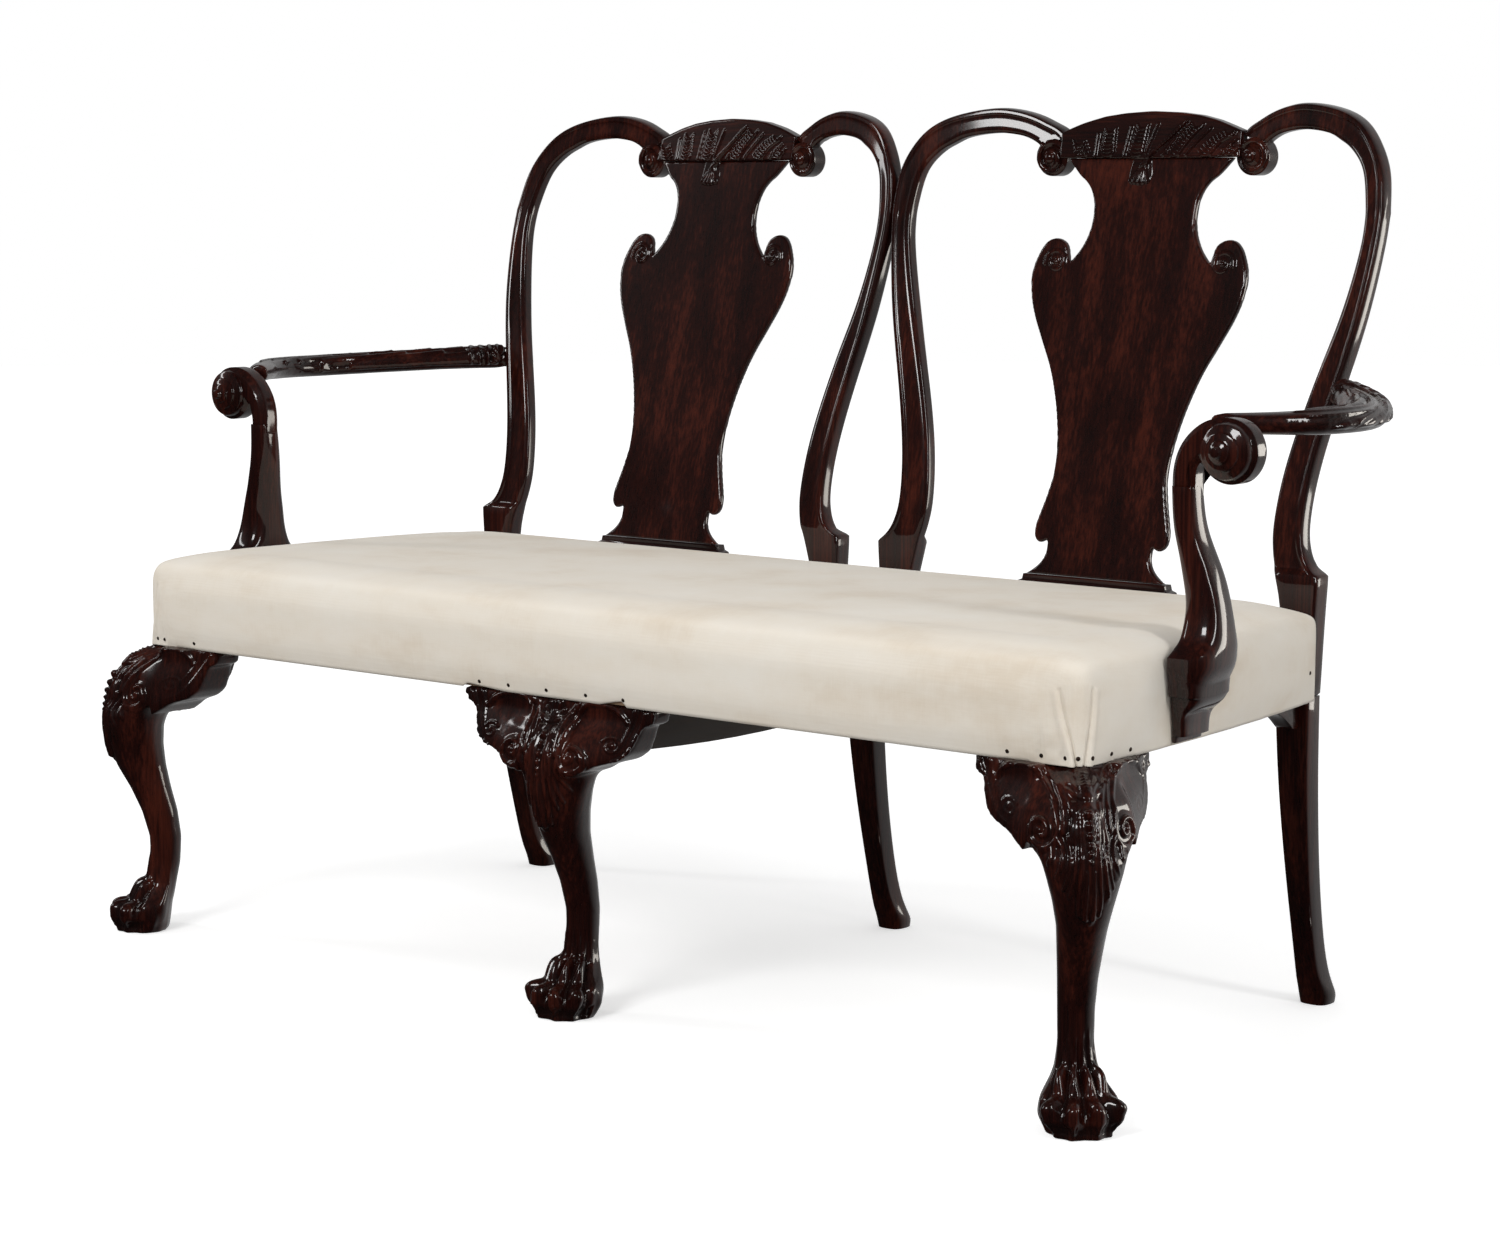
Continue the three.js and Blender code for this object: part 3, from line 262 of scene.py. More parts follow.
beech_across = timber("rail timber across", 0, (0.30, 0.19, 0.11))
beech_fore = timber("rail timber fore and aft", 1, (0.28, 0.18, 0.10))
dark_rail = timber("browned rail fore and aft", 1, (0.036, 0.019, 0.013))
jute = woven_jute()
print("timber and jute made")

# %% [markdown]
# ## Calico
# The seat is covered in plain undyed calico: a fine even weave with a few thicker threads, cream and slightly
# yellowed in soft clouds. The clouds change the colour, and the threads only tilt the light.


# %% Make the calico
def calico():
    finish = Finish("calico", "calico")
    warp, weft, rise = (wave(finish, 1.1, axis) for axis in "XYZ")
    slub_x = finish.noise((26, 1.4, 1.4), detail=2)
    slub_z = finish.noise((1.4, 26, 26), detail=2)
    cloud = finish.noise((130, 130, 60), detail=3)
    spot = finish.noise((14, 14, 14), detail=4)
    height = (warp + weft + rise) * 0.3 + slub_x * 0.7 + slub_z * 0.7
    tone = cloud * 0.72 + spot * 0.12 + (slub_x + slub_z) * 0.08
    stained, plain, clean = (0.70, 0.615, 0.505), (0.76, 0.695, 0.60), (0.785, 0.735, 0.655)
    colour = finish.ramp(tone, (0.34, stained), (0.48, plain), (0.66, clean))
    return finish.surface(
        Base_Color=colour, Roughness=0.86, Normal=finish.bump(height, 0.22, 0.55), Sheen_Weight=0.15,
        Sheen_Roughness=0.5, Specular_IOR_Level=0.25,
    )


cream_cloth = calico()
print("calico made")

# %% [markdown]
# ## Smooth copies of the solids
# The solids are faceted: each is a run of equal rings, or an outline with thickness. The real wood flows. A
# subdivision surface gives that back, if its mesh is quads and its true corners are creased. So a copy of the
# solid is merged, its triangles are paired into quads, and edges sharper than an angle are creased.


# %% Copy a solid and smooth it
ALMOST_FLAT = {"angle_face_threshold": math.radians(40), "angle_shape_threshold": math.radians(140)}


def smooth_faces(mesh):
    mesh.polygons.foreach_set("use_smooth", [True] * len(mesh.polygons))
    mesh.update()


def shape_of(mesh):
    shape = bmesh.new()
    shape.from_mesh(mesh)
    return shape


def piece_from(name, shape):
    """A new object whose mesh is this bmesh."""
    mesh = bpy.data.meshes.new(name)
    bmesh.ops.recalc_face_normals(shape, faces=shape.faces)
    shape.to_mesh(mesh)
    shape.free()
    piece = bpy.data.objects.new(name, mesh)
    scene.collection.objects.link(piece)
    smooth_faces(mesh)
    return piece


def paired(shape):
    """Joins the triangles of a bmesh into quads where they lie nearly flat."""
    bmesh.ops.join_triangles(shape, faces=shape.faces, **ALMOST_FLAT)
    return shape


def merged(*nodes):
    """A bmesh of one or more solids, whose loose triangles are merged."""
    shape = bmesh.new()
    for node in nodes:
        shape.from_mesh(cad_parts[node].data)
    bmesh.ops.remove_doubles(shape, verts=shape.verts, dist=0.02 * MM)
    return shape


def solid_shape(node):
    """A merged bmesh of a solid, with its flat ends as single faces and its sides as quads."""
    shape = merged(node)
    bmesh.ops.dissolve_limit(
        shape, angle_limit=math.radians(0.6), verts=shape.verts, edges=shape.edges, delimit=set()
    )
    return paired(shape)


def crease(shape, angle, amount=1.0):
    """Creases the edges that turn more than an angle."""
    layer = shape.edges.layers.float.new("crease_edge")
    for edge in shape.edges:
        if len(edge.link_faces) == 2 and edge.calc_face_angle() > math.radians(angle):
            edge[layer] = amount


def finish_piece(piece, finish, *nodes):
    piece.data.materials.clear()
    piece.data.materials.append(finish.material)
    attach(piece, "root")
    if nodes:
        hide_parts(*nodes)
    return piece


def with_modifier(piece, kind, **settings):
    modifier = piece.modifiers.new(kind.lower(), kind)
    for name, value in settings.items():
        setattr(modifier, name, value)
    return modifier


def subdivide(piece, levels):
    return with_modifier(piece, "SUBSURF", levels=levels, render_levels=levels)


CORNER_ANGLE, WORN_EDGE = 34, 0.6


def smooth_piece(node, finish):
    """A smooth copy of a solid, whose corners stay but are a little worn."""
    shape = solid_shape(node)
    crease(shape, CORNER_ANGLE)
    piece = piece_from(node + "_wood", shape)
    subdivide(piece, 2)
    with_modifier(
        piece, "BEVEL", width=WORN_EDGE * MM, segments=2, limit_method="ANGLE", angle_limit=math.radians(40),
        harden_normals=False,
    )
    return finish_piece(piece, finish, node)


def named(start):
    return sorted(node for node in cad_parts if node.startswith(start))


print("wood helpers ready for", len(named("")), "nodes")

# %% [markdown]
# ## Relief carving
# The carver draws scrolls, leaves and beads on the wood and cuts the ground away round them. Here each
# drawing is a set of strokes on a plane, in millimetres. A stroke is a smooth line with a width and a rise
# at each end. Points of a dense mesh are pushed out by the highest stroke that covers them.


# %% Draw strokes and measure their height
def smooth_path(points, steps=6):
    """A smooth line through points, with this many steps between two of them."""
    points = np.array(points, float)
    if len(points) < 3:
        return points
    ends = np.vstack([2 * points[0] - points[1], points, 2 * points[-1] - points[-2]])
    share = np.linspace(0, 1, steps, endpoint=False)[:, None]
    line = []
    for before, start, end, after in zip(ends, ends[1:], ends[2:], ends[3:]):
        bend = 2 * before - 5 * start + 4 * end - after
        twist = 3 * (start - end) + after - before
        line.append(0.5 * (2 * start + (end - before) * share + bend * share**2 + twist * share**3))
    return np.vstack([*line, points[-1:]])


def spiral(centre, radius, turns=1.6, start=90, turn=1):
    """A line that winds from a radius in towards its centre. turn is 1 leftwards and -1 rightwards."""
    share = np.linspace(0, 1, int(14 * turns))
    angle = math.radians(start) + turn * share * turns * 2 * math.pi
    reach = radius * (1 - 0.86 * share)
    return [(centre[0] + r * math.cos(a), centre[1] + r * math.sin(a)) for r, a in zip(reach, angle)]


def stroke(points, width, rise, end_width=None, end_rise=None, mirror=False):
    """A drawn line: its path, and its half width and rise from start to end."""
    line = smooth_path(points) if len(points) < 12 else np.array(points, float)
    share = np.linspace(0, 1, len(line))
    half = np.interp(share, [0, 1], [width, width if end_width is None else end_width]) / 2
    lift = np.interp(share, [0, 1], [rise, rise if end_rise is None else end_rise])
    found = [(line, half, lift)]
    if mirror:
        found.append((line * (-1, 1), half, lift))
    return found


def bead(centre, radius, rise, mirror=False):
    return stroke([centre, (centre[0], centre[1] + 0.01)], 2 * radius, rise, mirror=mirror)


def strokes(*rows, mirror=False):
    """Many drawn lines at once. Each row holds what stroke takes."""
    return [line for row in rows for line in stroke(*row, mirror=mirror)]


def carved_height(places, drawn, round_by=0.7):
    """Height of the drawing at each place, and how deep that place lies in a groove between strokes, which is
    painted as shade.
    """
    height = np.zeros(len(places))
    near = np.zeros(len(places))
    for line, half, lift in drawn:
        reach = half.max() * 2.2
        low, high = line.min(0) - reach, line.max(0) + reach
        inside = np.where(((places > low) & (places < high)).all(1))[0]
        if not len(inside):
            continue
        spots = places[inside]
        best = np.zeros(len(inside))
        edge = np.zeros(len(inside))
        for i in range(len(line) - 1):
            step = line[i + 1] - line[i]
            along = np.clip(((spots - line[i]) @ step) / max(step @ step, 1e-9), 0, 1)
            away = np.linalg.norm(spots - line[i] - along[:, None] * step, axis=1)
            wide = half[i] + (half[i + 1] - half[i]) * along
            rise = lift[i] + (lift[i + 1] - lift[i]) * along
            lifted = rise * np.clip(1 - (away / wide) ** 2, 0, 1) ** round_by
            best = np.where(abs(lifted) > abs(best), lifted, best)
            edge = np.maximum(edge, np.clip(1 - abs(away - wide) / (0.8 * wide), 0, 1))
        height[inside] = np.where(abs(best) > abs(height[inside]), best, height[inside])
        near[inside] = np.maximum(near[inside], edge)
    return height, near


# %% Push a mesh out by a drawing
def softened(mesh, values, rounds=1):
    """Each point's value averaged with its neighbours', so that strokes have no steps along them."""
    pairs = np.zeros(len(mesh.edges) * 2, int)
    mesh.edges.foreach_get("vertices", pairs)
    one, other = pairs[::2], pairs[1::2]
    count = np.bincount(pairs, minlength=len(values))
    for _ in range(rounds):
        total = np.bincount(one, values[other], len(values)) + np.bincount(other, values[one], len(values))
        values = 0.5 * values + 0.5 * total / np.maximum(count, 1)
    return values


def coordinates(mesh, kind="co"):
    """The place of each point of a mesh, or its normal, as rows of three numbers."""
    found = np.zeros(len(mesh.vertices) * 3)
    mesh.vertices.foreach_get(kind, found)
    return found.reshape(-1, 3)


def spots_of(piece):
    """The places of a piece's points, in millimetres."""
    return coordinates(piece.data) / MM


def normals(mesh):
    return coordinates(mesh, "normal")


def push_out(mesh, distance, carved=None, along=None):
    """Moves each point along its normal, or along given directions, by a distance in millimetres."""
    direction = normals(mesh) if along is None else along
    mesh.vertices.foreach_set("co", (coordinates(mesh) + direction * distance[:, None] * MM).ravel())
    # carved holds painted shade for the grooves, kept as a point attribute that the wood's colour reads.
    if carved is not None:
        layer = mesh.attributes.get("carved") or mesh.attributes.new("carved", "FLOAT", "POINT")
        layer.data.foreach_set("value", np.clip(carved, 0, 1).astype(np.float32))
    mesh.update()


def carve(piece, places, drawn, where, depth=1.0, rounds=1, along=None):
    """Raises a drawing on a piece. where is 1 on points that may move and 0 on the others."""
    height, near = carved_height(places, drawn)
    height = softened(piece.data, height, rounds)
    # The groove mask goes into the "carved" attribute, where the mahogany paints it as shade.
    push_out(piece.data, depth * height * where, near * np.clip(1 - height / 1.6, 0, 1) * where, along)


def applied(piece):
    """The piece with its modifiers applied to its mesh."""
    scene.view_layers[0].update()
    seen = piece.evaluated_get(bpy.context.evaluated_depsgraph_get())
    mesh = bpy.data.meshes.new_from_object(seen)
    piece.modifiers.clear()
    piece.data = mesh
    smooth_faces(mesh)
    return piece


def refine(piece, chosen, cuts=2):
    """Cuts the faces whose centre is chosen into finer ones. chosen takes centres in millimetres."""
    shape = shape_of(piece.data)
    centres = np.array([face.calc_center_median() for face in shape.faces]) / MM
    faces = [face for face, keep in zip(shape.faces, chosen(centres)) if keep]
    edges = list({edge for face in faces for edge in face.edges})
    bmesh.ops.subdivide_edges(shape, edges=edges, cuts=cuts, use_grid_fill=True)
    shape.to_mesh(piece.data)
    shape.free()
    smooth_faces(piece.data)
    return piece


def even_skin(piece, cell, rounds=0):
    """Gives a piece a skin of even quads of this size, smoothed for some rounds."""
    with_modifier(piece, "REMESH", mode="VOXEL", voxel_size=cell)
    if rounds:
        with_modifier(piece, "SMOOTH", factor=0.5, iterations=rounds)


def settle(piece):
    """Smooths a carved mesh a little, so that its ridges catch the light as lines and not as dots."""
    with_modifier(piece, "SMOOTH", factor=0.5, iterations=1)
    return applied(piece)


# %% [markdown]
# ## Splats and crests
# A splat is sawn from a board that leans and bows a little. Its outline is a vase with two scrolled ears.
# A flat curve with its outline fills and rounds itself. Its mesh is cut into a fine grid and then laid on
# the leaning face, so that the board can bend and its ears can be carved.


# %% Read a board's outline from its solid
def outline_of(node):
    """The front outline of a board as places across and up, in millimetres, and its front and thickness."""
    shape = merged(node)
    twins = {}
    for vertex in shape.verts:
        twins.setdefault((round(vertex.co.x, 5), round(vertex.co.z, 5)), []).append(vertex)
    front = {min(pair, key=lambda v: v.co.y) for pair in twins.values()}
    border = [
        edge
        for edge in shape.edges
        if set(edge.verts) <= front and any(not set(face.verts) <= front for face in edge.link_faces)
    ]
    follow = {}
    for edge in border:
        for one, other in (edge.verts, reversed(edge.verts)):
            follow.setdefault(one, []).append(other)
    start = min(front, key=lambda v: (v.co.z, v.co.x))
    ring, last = [start], None
    while len(ring) < len(front):
        step = [v for v in follow[ring[-1]] if v is not last and v not in ring[-2:]]
        last = ring[-1]
        ring.append(step[0])
    points = np.array([v.co[:] for v in ring]) / MM
    thickness = np.mean([abs(pair[0].co.y - pair[1].co.y) for pair in twins.values() if len(pair) == 2]) / MM
    shape.free()
    return points, thickness


def leaning_face(points):
    """A smooth face fitted to points: its place from front to back at a place across and a height."""
    middle = points[:, 0].mean()

    def terms(across, height):
        across, height = (across - middle) / 100, (height - 700) / 100
        return np.stack([height**i * across**j for i in range(4) for j in range(2)], -1)

    found = np.linalg.lstsq(terms(points[:, 0], points[:, 2]), points[:, 1], rcond=None)[0]
    return lambda across, height: terms(across, height) @ found


# %% Make a board from its outline
def flat_board(name, outline, rounding, thickness, corner=38):
    """A filled flat curve with rounded edges, as a bmesh with its outline in x and z, in millimetres."""
    curve = bpy.data.curves.new(name, "CURVE")
    curve.dimensions = "2D"
    curve.fill_mode = "BOTH"
    curve.extrude = thickness / 2 - rounding
    curve.bevel_depth = rounding
    curve.bevel_resolution = 2
    curve.offset = -rounding
    curve.resolution_u = 5
    line = curve.splines.new("BEZIER")
    line.bezier_points.add(len(outline) - 1)
    line.use_cyclic_u = True
    for i, (point, place) in enumerate(zip(line.bezier_points, outline)):
        before, after = outline[i - 1], outline[(i + 1) % len(outline)]
        into, out = Vector(place) - Vector(before), Vector(after) - Vector(place)
        point.co = (*place, 0)
        kind = "VECTOR" if math.degrees(into.angle(out)) > corner else "AUTO"
        point.handle_left_type = point.handle_right_type = kind
    drawn = bpy.data.objects.new(name + "_outline", curve)
    scene.collection.objects.link(drawn)
    scene.view_layers[0].update()
    mesh = bpy.data.meshes.new_from_object(drawn.evaluated_get(bpy.context.evaluated_depsgraph_get()))
    bpy.data.objects.remove(drawn)
    shape = shape_of(mesh)
    bmesh.ops.remove_doubles(shape, verts=shape.verts, dist=0.01)
    return shape


def even_grid(name, shape, size):
    """A board remeshed into even quads while it is still flat, so that it stays flat and can be carved."""
    board = piece_from(name, shape)
    even_skin(board, size, 2)
    even = shape_of(applied(board).data)
    bpy.data.objects.remove(board)
    return even


def lay_on(shape, face, thickness):
    """Lays a flat board on a leaning face, and turns millimetres to metres."""
    spots = np.array([v.co for v in shape.verts])
    front = face(spots[:, 0], spots[:, 1])
    for vertex, (across, height, proud), lean in zip(shape.verts, spots, front):
        vertex.co = Vector((across, lean + thickness / 2 - proud, height)) * MM


def carve_board(piece, face, drawn, centre):
    """Raises a drawing on the front of a board. The drawing's own middle lies at centre."""
    spots = spots_of(piece)
    front = spots[:, 1] < face(spots[:, 0], spots[:, 2]) + 1.5
    forward = np.tile((0.0, -1.0, 0.0), (len(spots), 1))
    carve(piece, spots[:, [0, 2]] - (centre, 0), drawn, front, along=forward)


# %% Make the splats, with rings carved in their ears
EAR_EYE, EAR_RADIUS, EAR_REGION = (113, 825), 15, 24
SPLAT_CELL, SPLAT_ROUNDING = 2.0, 1.6


def ear_scrolls():
    drawn = []
    for side in (-1, 1):
        eye = (side * EAR_EYE[0], EAR_EYE[1])
        drawn += stroke(spiral(eye, EAR_RADIUS, 1.7, 90 - side * 100, side), 5.5, 2.2, 3.2, 1.6)
        drawn += bead(eye, 3.2, 2.4)
    return drawn


# For each side, the middle of its back across and the face that its splat and crest share
SPLATS = {}
for side in ("left", "right"):
    node = "splat_" + side
    points, thickness = outline_of(node)
    centre = (points[:, 0].min() + points[:, 0].max()) / 2
    face = leaning_face(points)
    SPLATS[side] = (centre, face)
    board = flat_board(node, [(x, z) for x, y, z in points], SPLAT_ROUNDING, thickness)
    shape = even_grid(node, board, SPLAT_CELL)
    lay_on(shape, face, thickness)
    piece = piece_from(node + "_wood", shape)

    def near_ear(at):
        return np.hypot(abs(at[:, 0] - centre) - EAR_EYE[0], at[:, 2] - EAR_EYE[1]) < EAR_REGION

    refine(piece, near_ear, 1)
    carve_board(piece, face, ear_scrolls(), centre)
    finish_piece(piece, upright_wood, node)
print("splat mesh faces:", len(piece.data.polygons))

# %% [markdown]
# ## Front legs
# Each leg is one block of wood: a square post in the seat frame, a knee carved with leaves, scrolls, a small
# fan and a string of beads, a plain shaft and a paw with four toes. Its drawing is flat, with places across
# measured along the knee and the ears beside it, so knee and ears share one drawing.

# %% Draw the knee's carving
EYE, SCROLL_EYE = (92, 314), (56, 299)
FAN = ((0, 354, 3.2), (9, 352, 3.0), (17, 345, 2.6), (21, 336, 2.2))
BEADS = ((318, 4.4), (308, 4.2), (298.5, 3.9), (289.8, 3.5), (282, 3.0), (275.3, 2.5))
KNEE_RELIEF, GROOVE_DEPTH, KNEE_TOP, FACING = 1.2, 0.7, 357.5, 0.4

UPPER_LEAF = [(102, 340), (93, 350), (78, 356), (62, 355), (50, 346), (43, 335), (39, 324), (37, 312)]
LEAVES = strokes(
    (UPPER_LEAF, 6.0, 2.6, 7.5, 3.6),
    ([(82, 357), (64, 359), (47, 353), (35, 342), (29, 329), (27, 314), (29, 300)], 5.0, 2.2, 8.0, 3.4),
    ([(52, 358), (38, 352), (27, 340), (20, 325), (18, 308), (21, 292)], 4.0, 1.8, 7.0, 3.0),
    ([(37, 312), (36, 300), (41, 289), (52, 283), (63, 284), (70, 291), (70, 300)], 7.0, 3.6, 6.0, 3.0),
    (spiral(SCROLL_EYE, 12, 1.3, -10, 1), 5.5, 3.2, 4.5, 2.8),
    ([(133, 354), (127, 336), (121, 317), (113, 302), (101, 294), (86, 291)], 6.5, 3.2, 5.0, 2.0),
    ([(121, 352), (116, 334), (111, 316), (104, 304), (94, 298)], 5.5, 2.8, 4.0, 1.4),
    ([(110, 354), (106, 336), (102, 320), (97, 309)], 5.0, 2.4, 3.4, 1.0),
    (spiral(EYE, 10, 1.5, 150, -1), 3.4, 1.7, 2.8, 1.5),
    ([(36, 293), (32, 280), (37, 268), (44, 258)], 8.0, 3.4, 3.2, 1.2),
    ([(46, 284), (48, 275), (54, 268), (61, 264)], 8.0, 3.4, 3.2, 1.2),
    ([(58, 282), (63, 276), (69, 273), (76, 272)], 8.0, 3.4, 3.2, 1.2),
    ([(24, 296), (23, 279), (28, 262), (34, 247)], 6.0, 2.6, 4.5, 1.8),
    ([(15, 326), (14, 304), (17, 281), (21, 260), (26, 240)], 6.0, 2.6, 4.5, 1.8),
    ([(9, 320), (9.5, 298), (10, 278), (13, 257), (15, 238), (13, 223)], 4.0, 2.2, 7.0, 3.0),
    ([(5, 266), (5, 248), (5.5, 232), (5, 220)], 3.6, 1.6, 7.5, 3.2),
    mirror=True,
)
MASS = strokes(
    ([(22, 340), (34, 312), (44, 288), (50, 274)], 26, 2.4, 18, 1.8),
    ([(20, 300), (32, 276), (40, 258)], 26, 2.4, 9, 1.2),
    ([(12, 280), (21, 258), (26, 238)], 22, 2.4, 8, 1.2),
    ([(130, 352), (119, 318), (107, 300), (90, 290)], 18, 1.8, 11, 1.4),
    ([(98, 348), (76, 356), (52, 352)], 13, 1.4, 16, 1.8),
    mirror=True,
)


def knee_drawing():
    """The ribs of the leaves, the two scrolls of each side, the fan and the string of beads."""
    drawn = list(LEAVES)
    for centre, radius, rise in ((SCROLL_EYE, 3.6, 3.4), ((135, 351), 8.5, 4.2), (EYE, 2.4, 1.8)):
        drawn += bead(centre, radius, rise, mirror=True)
    for across, height, rise in FAN:
        drawn += stroke([(across * 0.15, 330), (across, height)], 3.0, 1.8, 6.8, rise, mirror=across > 0)
    for height, radius in BEADS:
        drawn += bead((0, height), radius, radius * 0.95)
    return drawn


def knee_ground():
    """The mass of the leaf and of the scrolls, under their ribs."""
    drawn = stroke([(0, 352), (0, 300), (0, 240), (0, 221)], 34, 2.6, 20, 2.6)
    return drawn + MASS + bead(SCROLL_EYE, 16, 2.2, mirror=True)


KNEE, KNEE_GROUND = knee_drawing(), knee_ground()
print("knee strokes:", len(KNEE), "and", len(KNEE_GROUND), "under them")

# %% Place the drawing round each leg
LEG_FOOT = {"left": (-706.7, -334.99), "middle": (0, -318.99), "right": (706.7, -334.99)}
LEG_TURN = {"left": -45, "middle": 0, "right": 45}
BLOCK_HALF, BLOCK_ACROSS, EAR_SQUEEZE = 42.8, 57, 0.735


def leg_frame(spots, label):
    """Places along a leg's facing direction and across it, from its foot, in millimetres."""
    turn = math.radians(LEG_TURN[label])
    ahead = np.array([math.sin(turn), -math.cos(turn)])
    aside = np.array([math.cos(turn), math.sin(turn)])
    away = spots[:, :2] - LEG_FOOT[label]
    return away @ ahead, away @ aside


def drawing_places(spots, label):
    """Where each point lies on the knee's drawing."""
    ahead, aside = leg_frame(spots, label)
    if label == "middle":
        wide = abs(aside)
        outer = BLOCK_ACROSS + (wide - BLOCK_HALF) * EAR_SQUEEZE
        across = np.sign(aside) * np.where(wide < BLOCK_HALF, wide * BLOCK_ACROSS / BLOCK_HALF, outer)
    else:
        across = aside * math.sqrt(2)
    return np.stack([across, spots[:, 2]], -1), ahead


def carve_knee(piece, label):
    spots = spots_of(piece)
    places, ahead = drawing_places(spots, label)
    height, near = carved_height(places, KNEE)
    height = softened(piece.data, height, 2)
    ground = softened(piece.data, carved_height(places, KNEE_GROUND, 0.45)[0], 4)
    facing = normals(piece.data)
    turn = math.radians(LEG_TURN[label])
    outwards = facing[:, 0] * math.sin(turn) - facing[:, 1] * math.cos(turn)
    side = np.clip((outwards - FACING) / 0.25, 0, 1)
    room = np.clip((KNEE_TOP - spots[:, 2]) / 3, 0, 1)
    groove = near * np.clip(1 - height / 1.5, 0, 1)
    rise = ground + KNEE_RELIEF * height - GROOVE_DEPTH * groove
    # The grooves beside the strokes also get painted shade, through the "carved" attribute.
    push_out(piece.data, rise * side * room, groove * side)


# %% [markdown]
# ## Paws
# The carver models the paw in the round. From the ankle, tendons run down to four toes. Each toe has two
# knuckles and ends in a claw over a pad. The solid has the paw's mass and its grooves, so knuckles and
# claws are pushed out of a dense copy, as bumps round the foot. Painted shade darkens the valleys between
# the toes and the recessed pad.

# %% Model a paw
TOES, VALLEYS = (-60, -20, 20, 60), (-80, -40, 0, 40, 80)
PAW_TOP, PAD_TOP = 106, 18
FOOT_AXIS = (0, 35, 60, 100), (-4, -8, -24, -30)
TOE_LUMPS = ((55, (12.5, 11), 7.4), (28, (12.5, 9.5), 9.4), (41, (15, 4.2), -2.6), (12, (5.5, 8), 4.2))
HEEL_LUMPS = (((128, 34), (16, 26), 3.2), ((128, 60), (9, 22), 1.5), ((112, 16), (9, 12), 2.6))


def lump(angle, height, place, size):
    """A round bump of height 1 at a place, for arrays of degrees round the foot and heights."""
    far = ((angle - place[0]) / size[0]) ** 2 + ((height - place[1]) / size[1]) ** 2
    return np.exp(-far * 1.2)


def paw_height(angle, height):
    """How far the paw rises at each place, and how much painted shade its valleys and its pad get."""
    rise, dark = np.zeros(len(angle)), np.zeros(len(angle))
    for toe in TOES:
        for place, size, amount in TOE_LUMPS:
            rise += lump(angle, height, (toe, place), size) * amount
        rise += lump(angle, height, (toe * 0.75, 82), (7, 17)) * 3.4
    for place in VALLEYS:
        valley = lump(angle, height, (place, 44), (7, 30))
        rise -= valley * 5.6
        # The valleys between the toes get painted shade.
        dark = np.maximum(dark, valley)
    # The recessed pad under the toes gets painted shade too.
    pad = np.clip((PAD_TOP - height) / 7, 0, 1) * (abs(angle) < 95)
    rise -= pad * 3.8
    for place, size, amount in HEEL_LUMPS:
        rise += lump(abs(angle), height, place, size) * amount
    return rise * np.clip((PAW_TOP - height) / 16, 0, 1), np.maximum(dark, pad * 0.9)


def carve_paw(piece, label):
    spots = spots_of(piece)
    ahead, aside = leg_frame(spots, label)
    shift = np.interp(spots[:, 2], *FOOT_AXIS)
    angle = np.degrees(np.arctan2(aside, ahead - shift))
    rise, dark = paw_height(angle, spots[:, 2])
    floor_room = np.clip(spots[:, 2] / 5, 0, 1)
    old = np.zeros(len(spots))
    piece.data.attributes["carved"].data.foreach_get("value", old)
    # dark goes into the "carved" attribute as painted shade.
    push_out(piece.data, rise * floor_room, np.maximum(old, dark * floor_room * (spots[:, 2] < 100)))


# %% [markdown]
# ## One skin for each leg
# On the settee the ears are blocks of their own, glued beside the knee, and the carving runs across the
# joint. A voxel remesh melts a leg and its ears into one even skin, which is then smoothed most where they
# meet. An even skin is also what the strokes need, because they only move points that are already there.

# %% Carve the three legs and their ears
EAR_REACH, LEG_CELL = 8, 2.65


def reach_into_knee(shape, label):
    """Moves an ear's near end into the knee, so that the two meet with no crack."""
    spots = np.array([vertex.co for vertex in shape.verts]) / MM
    aside = leg_frame(spots, label)[1]
    near = abs(aside) < abs(aside).min() + 18
    face = min((abs(spots[near, axis].max() - spots[near, axis].min()), axis) for axis in (0, 1))[1]
    ends = spots[:, face]
    away = np.sign(np.median(ends) - ends[np.argmin(abs(aside))])
    first = ends[np.argmin(away * ends)]
    for vertex, place in zip(shape.verts, ends):
        if abs(place - first) < 0.5:
            vertex.co[face] -= away * EAR_REACH * MM


def add_shape(whole, part):
    """Adds a bmesh to another one."""
    mesh = bpy.data.meshes.new("part")
    part.to_mesh(mesh)
    part.free()
    whole.from_mesh(mesh)
    bpy.data.meshes.remove(mesh)


def leg_blank(label, ears):
    """A leg and its ears under one even skin of quads, smoothed most where they meet."""
    whole = solid_shape("front_leg_" + label)
    for node in ears:
        ear = solid_shape(node)
        reach_into_knee(ear, label)
        add_shape(whole, ear)
    piece = piece_from(f"front_leg_{label}_wood", whole)
    even_skin(piece, LEG_CELL * MM)
    applied(piece)
    spots = spots_of(piece)
    across = abs(drawing_places(spots, label)[0][:, 0])
    seam = piece.vertex_groups.new(name="seam")
    knee = (spots[:, 2] > 262) & (spots[:, 2] < 356)
    low_ear = (spots[:, 2] < 312) & (across < 100)
    soft = np.where(knee, np.maximum(np.clip(1.3 - abs(across - 50) / 30, 0.5, 1), low_ear * 0.75), 0.25)
    soft = np.where((spots[:, 2] > 7) & (spots[:, 2] < 95), 0.75, soft)
    for level in (0.1, 0.25, 0.5, 0.75, 1.0):
        chosen = np.where(abs(soft - level) <= 0.126)[0]
        seam.add([int(i) for i in chosen], level, "REPLACE")
    with_modifier(piece, "SMOOTH", factor=0.5, iterations=24, vertex_group="seam")
    subdivide(piece, 1)
    return applied(piece)


for label in LEG_TURN:
    ears = named("knee_ear_" + label)
    leg = leg_blank(label, ears)
    carve_knee(leg, label)
    carve_paw(leg, label)
    settle(leg)
    finish_piece(leg, upright_wood, "front_leg_" + label, *ears)
print("a leg's faces:", len(leg.data.polygons))

# %% [markdown]
# ## The plain wood
# Shoes, brackets, arm supports and rear legs are shaped but not carved, so smooth copies of the solids are
# enough, with their sharp edges a little worn. The rails stay the solids that they are.

